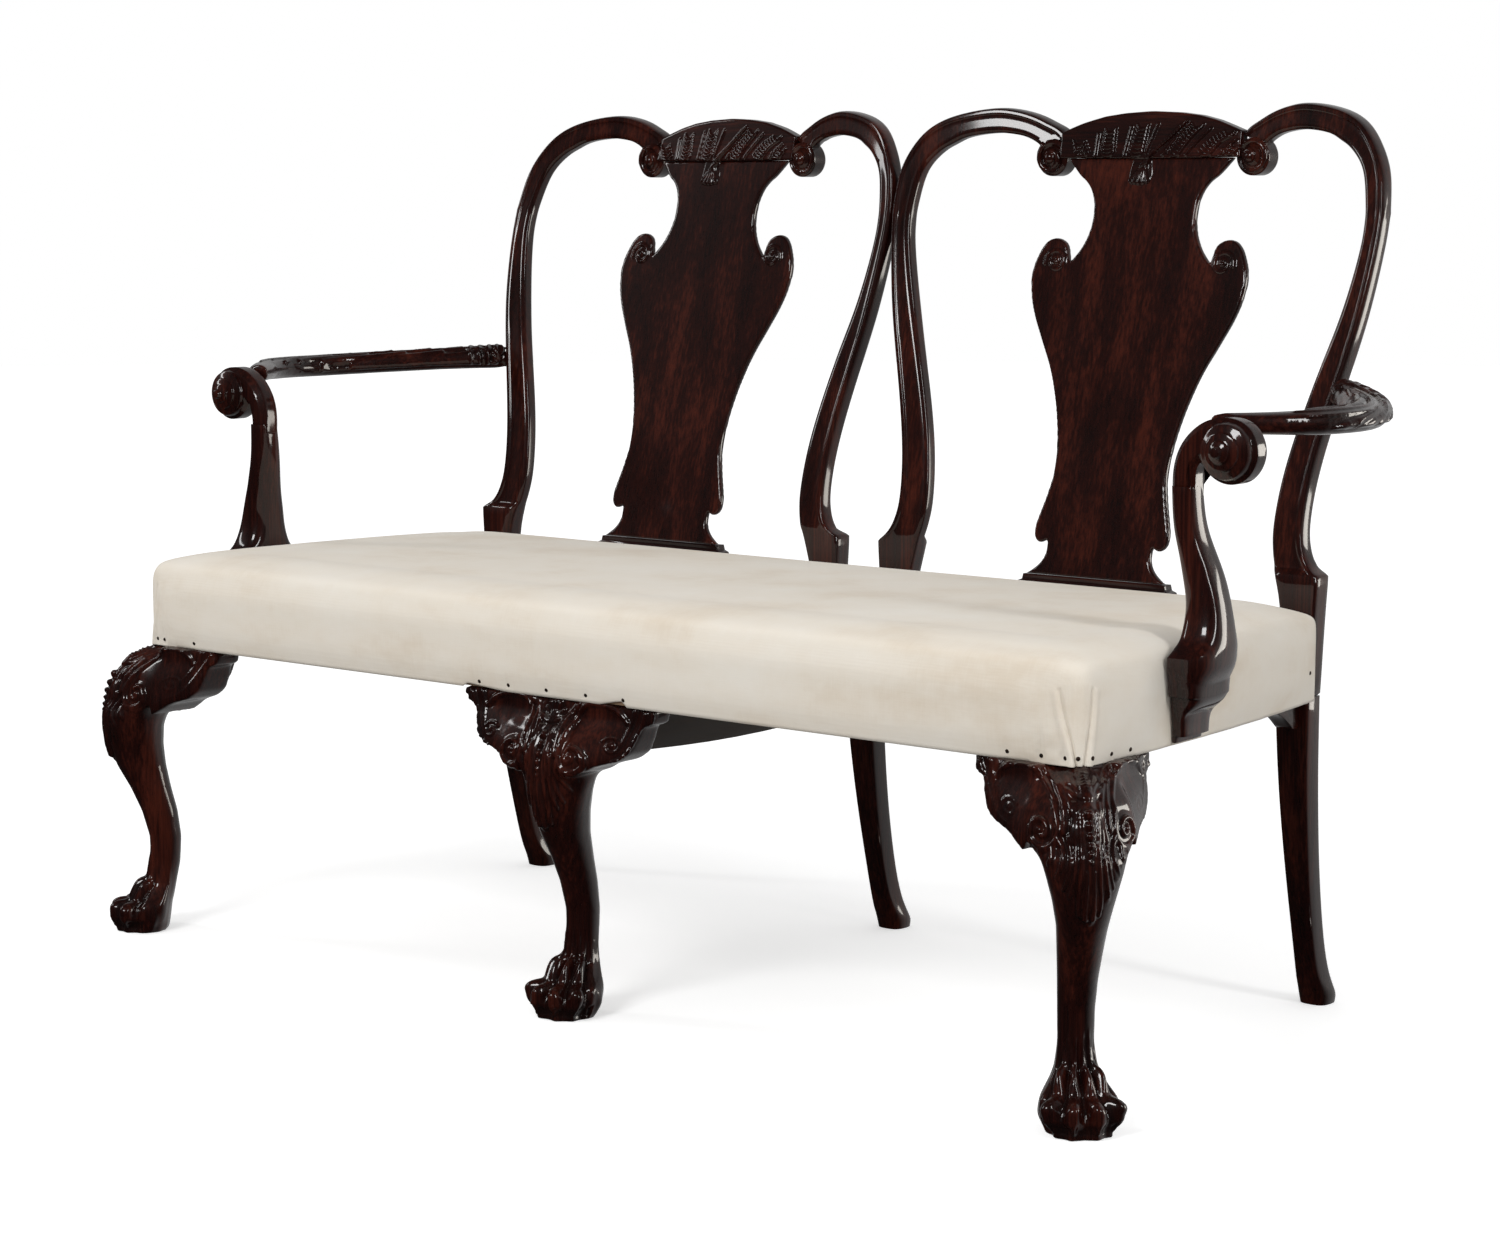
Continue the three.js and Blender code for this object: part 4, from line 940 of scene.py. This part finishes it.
# %% Smooth the plain wood and give the bare solids their finishes
SMOOTH = {
    "rear_leg": upright_wood, "shoe": across_wood, "rear_bracket": across_wood, "arm_support": upright_wood,
}
BARE = {
    "front_rail": beech_across, "side_rail": beech_fore, "corner_block": beech_fore, "rear_rail": across_wood,
    "medial_rail": dark_rail, "webbing": jute,
}
for start, finish in SMOOTH.items():
    for node in named(start):
        smooth_piece(node, finish)
for start, finish in BARE.items():
    for node in named(start):
        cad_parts[node].data.materials[0] = finish.material
print("smoothed:", ", ".join(SMOOTH))

# %% [markdown]
# ## Old glue
# A rough bead of old glue has set on the right side of the middle rail, behind the middle leg. It is built of
# overlapping drops under one fine skin.

# %% Run the bead of glue down the rail
GLUE_LINE = ((-172, 330), (-184, 318), (-195, 311), (-205, 302), (-215, 295), (-224, 285), (-231, 280))
RAIL_FACE, DROP_SIZE, GLUE_CELL = 15, 3.3, 0.9


def glue_finish():
    finish = Finish("old glue")
    crust = finish.noise((5, 5, 5), detail=5, rough=0.7)
    colour = finish.ramp(crust, (0.38, (0.13, 0.095, 0.065)), (0.6, (0.46, 0.38, 0.28)))
    return finish.surface(Base_Color=colour, Roughness=0.7 + crust * 0.2, Normal=finish.bump(crust, 0.8, 0.8))


drops = bmesh.new()
for i, (y, z) in enumerate(smooth_path(GLUE_LINE, 4)):
    size = DROP_SIZE + 1.1 * math.sin(i * 2.3)
    drop = bmesh.ops.create_icosphere(drops, subdivisions=2, radius=size)["verts"]
    bmesh.ops.translate(drops, vec=(RAIL_FACE + 0.3, y + 1.6 * math.sin(i * 5.1), z), verts=drop)
bmesh.ops.scale(drops, vec=(MM, MM, MM), verts=drops.verts)
glue = piece_from("rail_glue", drops)
even_skin(glue, GLUE_CELL * MM, 3)
finish_piece(applied(glue), glue_finish())
print("glue faces:", len(glue.data.polygons))

# %% [markdown]
# ## Arms
# Each arm rest bows outwards and back to its stile. A long leaf is carved over its rear part: ribs run along
# the top, and lobes curl over the outer side with their tips forward. The drawing is laid along the arm, with
# places across measured over the top and down the outer side.

# %% Carve the leaf on the arms
ARM_LINE = (
    (712, -117), (756, -69), (777, -32), (783, 11), (773, 58), (744, 109), (701, 162), (661, 205), (628, 241)
)
ARM_TOP, ARM_RISE, ARM_CELL = 690, 11, 2.4


def arm_leaf():
    drawn = strokes(
        ([(430, 2), (300, 4), (180, 6), (74, 8)], 6.0, 3.2, 4.5, 1.8),
        ([(430, -9), (320, -9), (200, -7), (92, -3)], 5.0, 2.8, 4.0, 1.6),
        ([(430, 13), (320, 16), (200, 18), (84, 20)], 5.0, 2.8, 4.5, 2.2),
    )
    for start, tip in ((196, 92), (248, 126), (300, 168), (350, 216), (392, 262), (420, 306)):
        drawn += stroke([(start, 20), (start - 38, 26), (tip + 22, 36), (tip, 47)], 12.0, 3.0, 7.0, 4.2)
        drawn += stroke([(start - 14, 19), (start - 52, 28), (tip + 34, 42)], 4.0, 4.6, 3.4, 4.4)
    for start, tip in ((200, 100), (250, 138), (300, 180), (350, 226), (395, 276)):
        drawn += stroke([(start, -4), (start - 36, -9), (tip + 20, -14), (tip, -17)], 9.0, 2.8, 5.0, 3.0)
    for place in (392, 404, 416, 426):
        drawn += stroke([(place, -14), (place - 6, 2), (place, 18)], 6.5, 5.0, 5.5, 3.6)
    return drawn


def arm_places(spots, side):
    """Places along an arm's line, and across it: over the top and down the outer side."""
    line = smooth_path(ARM_LINE, 10)
    away = np.append(0, np.cumsum(np.linalg.norm(np.diff(line, axis=0), axis=1)))
    heading = np.gradient(line, axis=0)
    heading /= np.linalg.norm(heading, axis=1)[:, None]
    flat = spots[:, :2] * (side, 1)
    nearest = np.linalg.norm(flat[:, None] - line[None], axis=2).argmin(1)
    offset = flat - line[nearest]
    along = away[nearest] + (offset * heading[nearest]).sum(1)
    out = offset[:, 0] * heading[nearest, 1] - offset[:, 1] * heading[nearest, 0]
    top = ARM_TOP + ARM_RISE * np.clip((along / away[-1] - 0.4) / 0.6, 0, 1)
    return np.stack([along, out + np.clip(top - spots[:, 2], 0, 40) * (out > 0)], -1)


for side, label in ((-1, "left"), (1, "right")):
    arm = piece_from(f"arm_{label}_wood", solid_shape("arm_" + label))
    even_skin(arm, ARM_CELL * MM, 9)
    subdivide(arm, 1)
    applied(arm)
    upper = np.clip(normals(arm.data)[:, 2] * 3 + 1.6, 0, 1)
    carve(arm, arm_places(spots_of(arm), side), arm_leaf(), upper, 1.2, 2)
    settle(arm)
    finish_piece(arm, fore_wood, "arm_" + label)
print("an arm's faces:", len(arm.data.polygons))

# %% [markdown]
# ## Stiles and hoops
# A stile and its hoop are jointed end to end, and the joint can't be seen in the photograph. Copies of both
# solids are welded there, so that the smooth surface and the raised bead run on. The hoop ends in a scroll
# beside the crest: a rim that winds in to a round button.

# %% Weld each stile to its hoop and carve the scroll
JOINT_HEIGHT = 882.05
SCROLL_ACROSS, SCROLL_HEIGHT, CHAIR_CENTRE = 133.5, 945.5, 324.1
SCROLL_RADIUS, BUTTON_RADIUS, SCROLL_REGION = 19, 7, 27


def back_member(side, hand):
    label = f"{side}_{hand}"
    shape = merged("stile_" + label, "hoop_" + label)
    joint = {v for v in shape.verts if abs(v.co.z / MM - JOINT_HEIGHT) < 0.5}
    inner = [face for face in shape.faces if set(face.verts) <= joint]
    bmesh.ops.delete(shape, geom=inner, context="FACES_ONLY")
    bmesh.ops.remove_doubles(shape, verts=list(joint), dist=0.9 * MM)
    crease(paired(shape), 36, 0.92)
    piece = piece_from(f"back_member_{label}", shape)
    subdivide(piece, 2)
    applied(piece)
    way = -1 if side == "left" else 1
    out = 1 if hand == "outer" else -1
    centre = (way * (CHAIR_CENTRE + out * SCROLL_ACROSS), SCROLL_HEIGHT)

    def near_scroll(centres):
        return np.hypot(centres[:, 0] - centre[0], centres[:, 2] - centre[1]) < SCROLL_REGION

    refine(piece, near_scroll)
    spots = spots_of(piece)
    turn = -way * out
    drawn = stroke(spiral(centre, SCROLL_RADIUS, 1.25, 90 + 40 * turn, turn), 7.5, 2.2, 5.0, 1.8)
    drawn += bead(centre, BUTTON_RADIUS, 3.0)
    forward = np.clip(-normals(piece.data)[:, 1] * 2 - 0.6, 0, 1) * near_scroll(spots)
    carve(piece, spots[:, [0, 2]], drawn, forward, rounds=0)
    return finish_piece(piece, upright_wood, "stile_" + label, "hoop_" + label)


for side in ("left", "right"):
    for hand in ("inner", "outer"):
        member = back_member(side, hand)
print("a stile and hoop together:", len(member.data.polygons), "faces")

# %% [markdown]
# ## Crests
# Between the two scrolls of each back sits an arched crest. It is carved with fronds, like ears of corn,
# that spread from its foot, with raised fillets between them. A twisted cord runs down over it and ends in a
# tassel on the splat. The crest is a board as the splat is, cut into a finer grid. Its ends reach behind the
# scrolls.

# %% Draw the fronds, the fillets and the cord
FRONDS = (
    ((-95, 947), (-102, 962)), ((-61, 947), (-60, 975)), ((-22, 947), (-17, 981)),
    ((29, 947), (40, 962), (57, 980)), ((70, 947), (82, 960), (99, 970)), ((101, 948), (108, 955)),
)
FILLETS = (
    ((-77, 946), (-76, 973)), ((-38, 946), (-33, 981)), ((-9, 950), (2, 984)),
    ((14, 948), (26, 965), (44, 984)), ((44, 948), (56, 962), (72, 978)), ((88, 947), (97, 956), (107, 965)),
)
CORD, KNOT = ((36, 984), (20, 968), (4, 954), (-7, 943), (-11, 936)), (-13, 934)


def frond(path, reach=9.5, step=4.4):
    """Pairs of short curled strokes, rising from a middle rib."""
    line = smooth_path(path, 12) if len(path) > 2 else np.linspace(path[0], path[1], 24)
    away = np.append(0, np.cumsum(np.linalg.norm(np.diff(line, axis=0), axis=1)))
    drawn = []
    for place in np.arange(0, away[-1], step):
        x, z = (np.interp(place, away, line[:, axis]) for axis in range(2))
        size = reach * (1 - 0.25 * place / away[-1])
        for way in (-1, 1):
            lobe = [(x, z), (x + way * size * 0.55, z + 1.4), (x + way * size, z + 6.0)]
            drawn += stroke(lobe, 3.6, 3.0, 2.6, 2.0)
    return drawn


def tassel_drawing():
    """Five strands that spread from a knot, left of the chair's centre line."""
    x, z = KNOT
    drawn = bead((x + 3, z + 1), 4.5, 2.6)
    for share in (-1, -0.5, 0, 0.5, 1):
        foot = (x - 3 + share * 12, z - 17 + abs(share))
        drawn += stroke([(x + 2 + share * 3, z), foot], 3.2, 2.0, 6.0, 2.6)
    return drawn


def crest_drawing():
    drawn = tassel_drawing() + strokes(*((path, 3.2, 2.6) for path in FILLETS))
    for path in FRONDS:
        drawn += frond(path)
    for x, z in smooth_path(CORD, 10)[:-1:2]:
        drawn += stroke([(x - 4.5, z - 2.8), (x, z), (x + 4.5, z + 2.8)], 3.4, 4.2, 3.4, 4.2)
    return drawn


# %% Cut the crest boards and carve them
CREST_THICKNESS, CREST_PROUD, CREST_CELL, CREST_ROUNDING = 17, 4, 0.95, 2.4
CREST_END, CREST_REACH = 92, 9
TASSEL_TONGUE = ((-28, 944), (-30, 920), (-27, 913), (-5, 913), (2, 920), (0, 944))


def crest_board(side):
    node = "crest_" + side
    centre, splat_face = SPLATS[side]
    corners = np.array([v.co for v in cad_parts[node].data.vertices]) / MM
    foot = corners[:, 2].min()
    flat = [Vector(pair) for pair in sorted({(round(x, 1), round(z, 1)) for x, y, z in corners})]
    hull = [flat[i] for i in convex_hull_2d(flat)]

    def longer(x, z):
        share = min(max((abs(x - centre) - CREST_END) / 15, 0), 1)
        return x + math.copysign(CREST_REACH * share, x - centre), z - 2 * share * (z > foot + 1)

    ends = sorted((x, z) for x, z in hull if z < foot + 1)
    arch = sorted(((x, z) for x, z in hull if z > foot + 1), reverse=True)
    tongue = [(centre + x, z) for x, z in TASSEL_TONGUE]
    outline = [longer(*spot) for spot in (ends[0], *tongue, ends[-1], *arch)]
    board = flat_board(node, outline, CREST_ROUNDING, CREST_THICKNESS, corner=50)
    shape = even_grid(node, board, CREST_CELL)

    def face(x, z):
        proud = np.where(z < foot - 0.5, 0.5, CREST_PROUD)
        return splat_face(x, z) - proud

    lay_on(shape, face, CREST_THICKNESS)
    for vertex in shape.verts:
        x, y, z = vertex.co / MM
        if z < foot - 0.5:
            vertex.co.y = min(y, splat_face(x, z) + 3) * MM
    piece = piece_from(node + "_wood", shape)
    carve_board(piece, face, crest_drawing(), centre)
    return finish_piece(piece, across_wood, node)


for side in ("left", "right"):
    crest = crest_board(side)
print("a crest's faces:", len(crest.data.polygons))

# %% [markdown]
# ## The upholstered seat
# The calico is pulled over the stuffing and tacked along the foot of the rails. It swells a little at the
# sides, is drawn in where it is tacked, and is folded into pleats at the front corners. A closed form of the
# seat is remeshed into even quads and blown up as cloth with its foot pinned. Then its underside is opened
# and it is cut round the uprights and shoes.

# %% Close the seat's form and remesh it
CLOTH_CELL = 8
CLOTH_FOOT, HEM_HEIGHT, HEM_SPARE = 358, 356.6, 14


def seat_form():
    """The seat's outer form, closed below, with some cloth to spare under its hem."""
    shape = merged("seat_cover")
    hull = bmesh.ops.convex_hull(shape, input=shape.verts)
    spare = hull["geom_interior"] + hull["geom_unused"]
    loose = [part for part in spare if isinstance(part, bmesh.types.BMVert)]
    bmesh.ops.delete(shape, geom=loose, context="VERTS")
    old = [face for face in shape.faces if face not in set(hull["geom"])]
    bmesh.ops.delete(shape, geom=old, context="FACES")
    for vertex in shape.verts:
        if vertex.co.z < (CLOTH_FOOT + 1) * MM:
            vertex.co.z -= HEM_SPARE * MM
    return piece_from("seat_cloth", shape)


cloth = seat_form()
even_skin(cloth, CLOTH_CELL * MM, 6)
applied(cloth)
print("remeshed seat:", len(cloth.data.polygons), "quads")


# %% Blow the cloth up and hold it back
SUPPORT_PLACE = -128.99
SWELL = {"side": 5.5, "top": 2.5}
STUFFED = (610, -54, 190)


def blow_up(piece):
    """Swells the piece as cloth, pinned at its foot and over the stuffing, and caps how far it moves."""
    start = coordinates(piece.data)
    facing = normals(piece.data)
    spots = start / MM
    held = piece.vertex_groups.new(name="held")
    inside = (abs(spots[:, 0]) < STUFFED[0]) & (abs(spots[:, 1] - STUFFED[1]) < STUFFED[2])
    still = (spots[:, 2] < CLOTH_FOOT + 6) | ((facing[:, 2] > 0.9) & inside)
    held.add([int(i) for i in np.where(still)[0]], 1, "REPLACE")
    modifier = piece.modifiers.new("cloth", "CLOTH")
    settings = modifier.settings
    settings.quality = 5
    settings.use_pressure = True
    settings.uniform_pressure_force = 4
    settings.vertex_group_mass = "held"
    settings.effector_weights.gravity = 0
    settings.tension_stiffness = settings.compression_stiffness = 15
    modifier.collision_settings.use_collision = False
    modifier.point_cache.frame_start, modifier.point_cache.frame_end = 1, 20
    for step in range(1, 21):
        scene.frame_set(step)
    applied(piece)
    scene.frame_set(1)
    moved = ((coordinates(piece.data) - start) * facing).sum(1) / MM
    level = abs(facing[:, 2])
    room = SWELL["side"] + (SWELL["top"] - SWELL["side"]) * level
    room *= np.clip((abs(spots[:, 1] - SUPPORT_PLACE) - 52) / 40, 0.02, 1) ** (level < 0.6)
    swell = softened(piece.data, np.clip(moved, 0, room), 2)
    piece.data.vertices.foreach_set("co", (start + facing * swell[:, None] * MM).ravel())
    piece.data.update()
    print("the cloth swells by up to", round(float(swell.max()), 1), "mm")


blow_up(cloth)


# %% Cut the cloth round the wood and open its foot
def cut_by(piece, nodes, grow):
    """Takes grown copies of solids out of a piece, then the walls that this leaves and its underside."""
    piece.data.materials.append(cream_cloth.material)
    for node in nodes:
        shape = solid_shape(node)
        bmesh.ops.recalc_face_normals(shape, faces=shape.faces)
        shape.normal_update()
        for vertex in shape.verts:
            vertex.co += vertex.normal * grow * MM * vertex.calc_shell_factor()
        tool = piece_from("tool", shape)
        tool.data.materials.append(jute.material)
        with_modifier(
            piece, "BOOLEAN", operation="DIFFERENCE", object=tool, solver="EXACT", material_mode="TRANSFER"
        )
        applied(piece)
        bpy.data.objects.remove(tool)
    shape = shape_of(piece.data)
    walls = [face for face in shape.faces if face.material_index > 0]
    bmesh.ops.delete(shape, geom=walls, context="FACES")
    bmesh.ops.bisect_plane(
        shape, geom=[*shape.verts, *shape.edges, *shape.faces], plane_co=(0, 0, HEM_HEIGHT * MM),
        plane_no=(0, 0, 1), clear_inner=True,
    )
    loose = [v for v in shape.verts if not v.link_faces]
    bmesh.ops.delete(shape, geom=loose, context="VERTS")
    shape.to_mesh(piece.data)
    shape.free()


cut_by(cloth, named("stile") + named("shoe") + ["rear_rail"], 0.8)
print("open cloth:", len(cloth.data.polygons), "faces")

# %% Fold the corners and draw the cloth in at its tacks
CORNER, CORNER_REGION, FOLD_TOP = (694, -325), 60, 432
FRONT_TACKS = (-688, -672, -658, -602, -117, -72, -14, 45, 100, 608, 648, 675)
SIDE_TACKS = (-318, -306, -273, -239)
TACK_HEIGHT, FRONT_DEPTH = 364.5, 12
REAR_TACK = (760, 169, 391)
HEM_RISE = (-142, -138, -78, 64, 99, 101), (0, 4.5, 0, 0, 7, 0)


def corner_folds():
    """An inverted pleat at a front corner, as strokes. Places run from the corner, rearwards above 0."""
    return strokes(
        ([(-34, 436), (-26, 405), (-16, 378), (-9, 356)], 9.0, 0.8, 12.0, 3.2),
        ([(-28, 438), (-19, 404), (-9, 377), (-3, 356)], 3.4, -1.8, 4.2, -3.4),
        ([(27, 436), (24, 404), (20, 380), (16, 356)], 9.0, 0.8, 12.0, 2.8),
        ([(20, 438), (17, 404), (13, 380), (8, 356)], 3.4, -1.8, 4.2, -3.4),
    )


def hem_drawing():
    """The hem drawn in at each tack, with faint pulls above it, along the front."""
    drawn = []
    for place in FRONT_TACKS:
        drawn += bead((place, TACK_HEIGHT), 8, -1.2)
        drawn += stroke([(place, TACK_HEIGHT + 2), (place + 2, TACK_HEIGHT + 30)], 6, -1.1, 4, -0.1)
    return drawn


def hem_lift(spots):
    """How far the hem rides up beside the middle leg, where a strip of the rail shows under it."""
    across = np.interp(spots[:, 0], *HEM_RISE)
    low = np.clip((HEM_HEIGHT + 6 - spots[:, 2]) / 6, 0, 1)
    return across * low * (spots[:, 1] < CORNER[1] + FRONT_DEPTH)


def near_corner(at):
    low = (at[:, 2] < FOLD_TOP) & (at[:, 1] < CORNER[1] + CORNER_REGION)
    return low & (abs(at[:, 0]) > CORNER[0] - CORNER_REGION)


refine(cloth, near_corner, 2)
subdivide(cloth, 1)
applied(cloth)
spots = spots_of(cloth)
level = 1 - abs(normals(cloth.data)[:, 2]) ** 2
from_corner = (abs(spots[:, 0]) - CORNER[0]) + (spots[:, 1] - CORNER[1])
fold, _ = carved_height(np.stack([from_corner, spots[:, 2]], -1), corner_folds(), 1.0)
pull, _ = carved_height(spots[:, [0, 2]], hem_drawing(), 1.0)
front = (spots[:, 1] < CORNER[1] + FRONT_DEPTH) * 1.0
push_out(cloth.data, softened(cloth.data, fold * near_corner(spots) + pull * front) * level)
push_out(cloth.data, hem_lift(spots), along=np.array([(0.0, 0.0, 1.0)]))


# %% [markdown]
# ## Tacks
# Small iron tacks with domed heads hold the hem to the rails. A ray from outside finds where each one meets
# the cloth, so its head sits on the cloth wherever the simulation has taken it.

# %% Drive the tacks
TACK_RADIUS, TACK_DOME, CALICO_THICKNESS = 2.3, 0.55, 1.2


def tack(place, facing):
    """A small domed iron head, with its flat face against the cloth."""
    shape = bmesh.new()
    bmesh.ops.create_uvsphere(shape, u_segments=12, v_segments=8, radius=TACK_RADIUS)
    for vertex in shape.verts:
        vertex.co.z *= TACK_DOME
    turn = Vector((0, 0, 1)).rotation_difference(Vector(facing)).to_matrix()
    bmesh.ops.transform(shape, matrix=turn.to_4x4(), verts=shape.verts)
    bmesh.ops.translate(shape, vec=place, verts=shape.verts)
    bmesh.ops.scale(shape, vec=(MM, MM, MM), verts=shape.verts)
    return shape


def iron():
    finish = Finish("tack iron")
    rust = finish.noise((1.5, 1.5, 1.5), detail=3)
    colour = finish.ramp(rust, (0.4, (0.018, 0.014, 0.012)), (0.65, (0.060, 0.032, 0.020)))
    return finish.surface(
        Base_Color=colour, Roughness=0.42 + rust * 0.3, Metallic=0.8, Normal=finish.bump(rust, 0.2, 0.5)
    )


def surface_at(piece, start, heading):
    """Where a line from a place meets a piece, and the piece's facing there."""
    hit, place, facing, _ = piece.ray_cast(Vector(start) * MM, Vector(heading))
    return (place / MM, facing) if hit else (None, None)


heads = bmesh.new()
starts = [((x, CORNER[1] - 60, TACK_HEIGHT), (0, 1, 0)) for x in FRONT_TACKS]
starts += [((side * 760, y, TACK_HEIGHT), (-side, 0, 0)) for side in (-1, 1) for y in SIDE_TACKS]
starts.append((REAR_TACK, (-1, 0, 0)))
for start, heading in starts:
    place, facing = surface_at(cloth, start, heading)
    if place is not None:
        add_shape(heads, tack(place, facing))
tacks = finish_piece(piece_from("tacks", heads), iron())
print("tack faces:", len(tacks.data.polygons))

# %% Give the cloth its thickness
with_modifier(cloth, "SOLIDIFY", thickness=CALICO_THICKNESS * MM, offset=-1)
finish_piece(cloth, cream_cloth, "seat_cover", "stuffing")
print("seat cloth finished,", CALICO_THICKNESS, "mm thick")

# %% [markdown]
# ## Floor, world and lamps
# The photograph has a white ground with faint shadows at each foot. The floor is a plain disc. Part of its
# white is its own light, which only the camera sees, and which is weaker near the settee. Polished wood needs
# something to reflect: it sees a dark room in front of it and a pale one behind it.


# %% Floor
def white_floor():
    shape = bmesh.new()
    bmesh.ops.create_circle(shape, cap_ends=True, segments=64, radius=14)
    piece = piece_from("floor", shape)
    finish = Finish("floor white")
    away = finish.node("VectorMath", {"operation": "LENGTH"}, {0: finish.place}).outputs["Value"]
    glow = finish.blend(Field(finish, away).between(1.0, 6.0), (0.55,) * 3, (0.70,) * 3)
    glow = finish.node("Emission", {}, {"Color": glow}).outputs[0]
    matt, pale = (finish.node("BsdfDiffuse", {}, {"Color": (grey,) * 3}).outputs[0] for grey in (0.45, 0.8))
    lit = finish.node("AddShader", {}, {0: pale, 1: glow}).outputs[0]
    by_camera = finish.node("LightPath").outputs["Is Camera Ray"]
    both = finish.node("MixShader", {}, {0: by_camera, 1: matt, 2: lit}).outputs[0]
    finish.node("OutputMaterial", {}, {"Surface": both})
    piece.data.materials.append(finish.material)
    piece.visible_glossy = False


white_floor()
print("floor laid")

# %% World
AMBIENT, DARK_ROOM, PALE_ROOM = 0.55, 0.02, 0.55


def studio_world():
    scene.world = bpy.data.worlds.new("studio")
    studio = Finish("studio", world=scene.world)
    ray = studio.node("LightPath").outputs
    glossy = Field(studio, ray["Is Glossy Ray"])
    white = glossy.math("MAXIMUM", ray["Is Camera Ray"], ray["Is Transmission Ray"])
    way = studio.node("TexCoord").outputs["Generated"]
    behind = Field(studio, studio.node("SeparateXYZ", {}, {0: way}).outputs["Y"]).between(0.15, 0.95)
    room = DARK_ROOM + (PALE_ROOM - DARK_ROOM) * behind
    light = AMBIENT + glossy * (room - AMBIENT)
    light = light + white * (1 - light)
    back = studio.node("Background", {}, {"Color": (1, 1, 1), "Strength": light}).outputs[0]
    studio.node("OutputWorld", {}, {"Surface": back})


studio_world()
print("world light:", AMBIENT, "and in reflections", DARK_ROOM, "to", PALE_ROOM)


# %% Lamps
def lamp(name, place, aim, size, power, colour=(1, 1, 1)):
    light = bpy.data.lights.new(name, "AREA")
    light.shape = "RECTANGLE"
    light.size, light.size_y = size
    light.energy = power
    light.color = colour
    placed = bpy.data.objects.new(name, light)
    placed.location = place
    placed.rotation_euler = (Vector((0, 0, aim)) - Vector(place)).to_track_quat("-Z", "Y").to_euler()
    scene.collection.objects.link(placed)
    return placed


lamp("front softbox", (0.4, -3.7, 2.9), 0.4, (1.5, 0.8), 78)
lamp("right softbox", (3.9, -0.5, 2.3), 0.4, (0.45, 1.8), 46)
lamp("left softbox", (-3.6, -1.4, 2.2), 0.5, (0.35, 1.8), 20)
rear = lamp("rear panel", (3.1, 3.0, 0.7), 0.5, (1.2, 1.7), 62, (1, 0.95, 0.87))
rear.visible_diffuse = False
print("lamps:", len(bpy.data.lights))
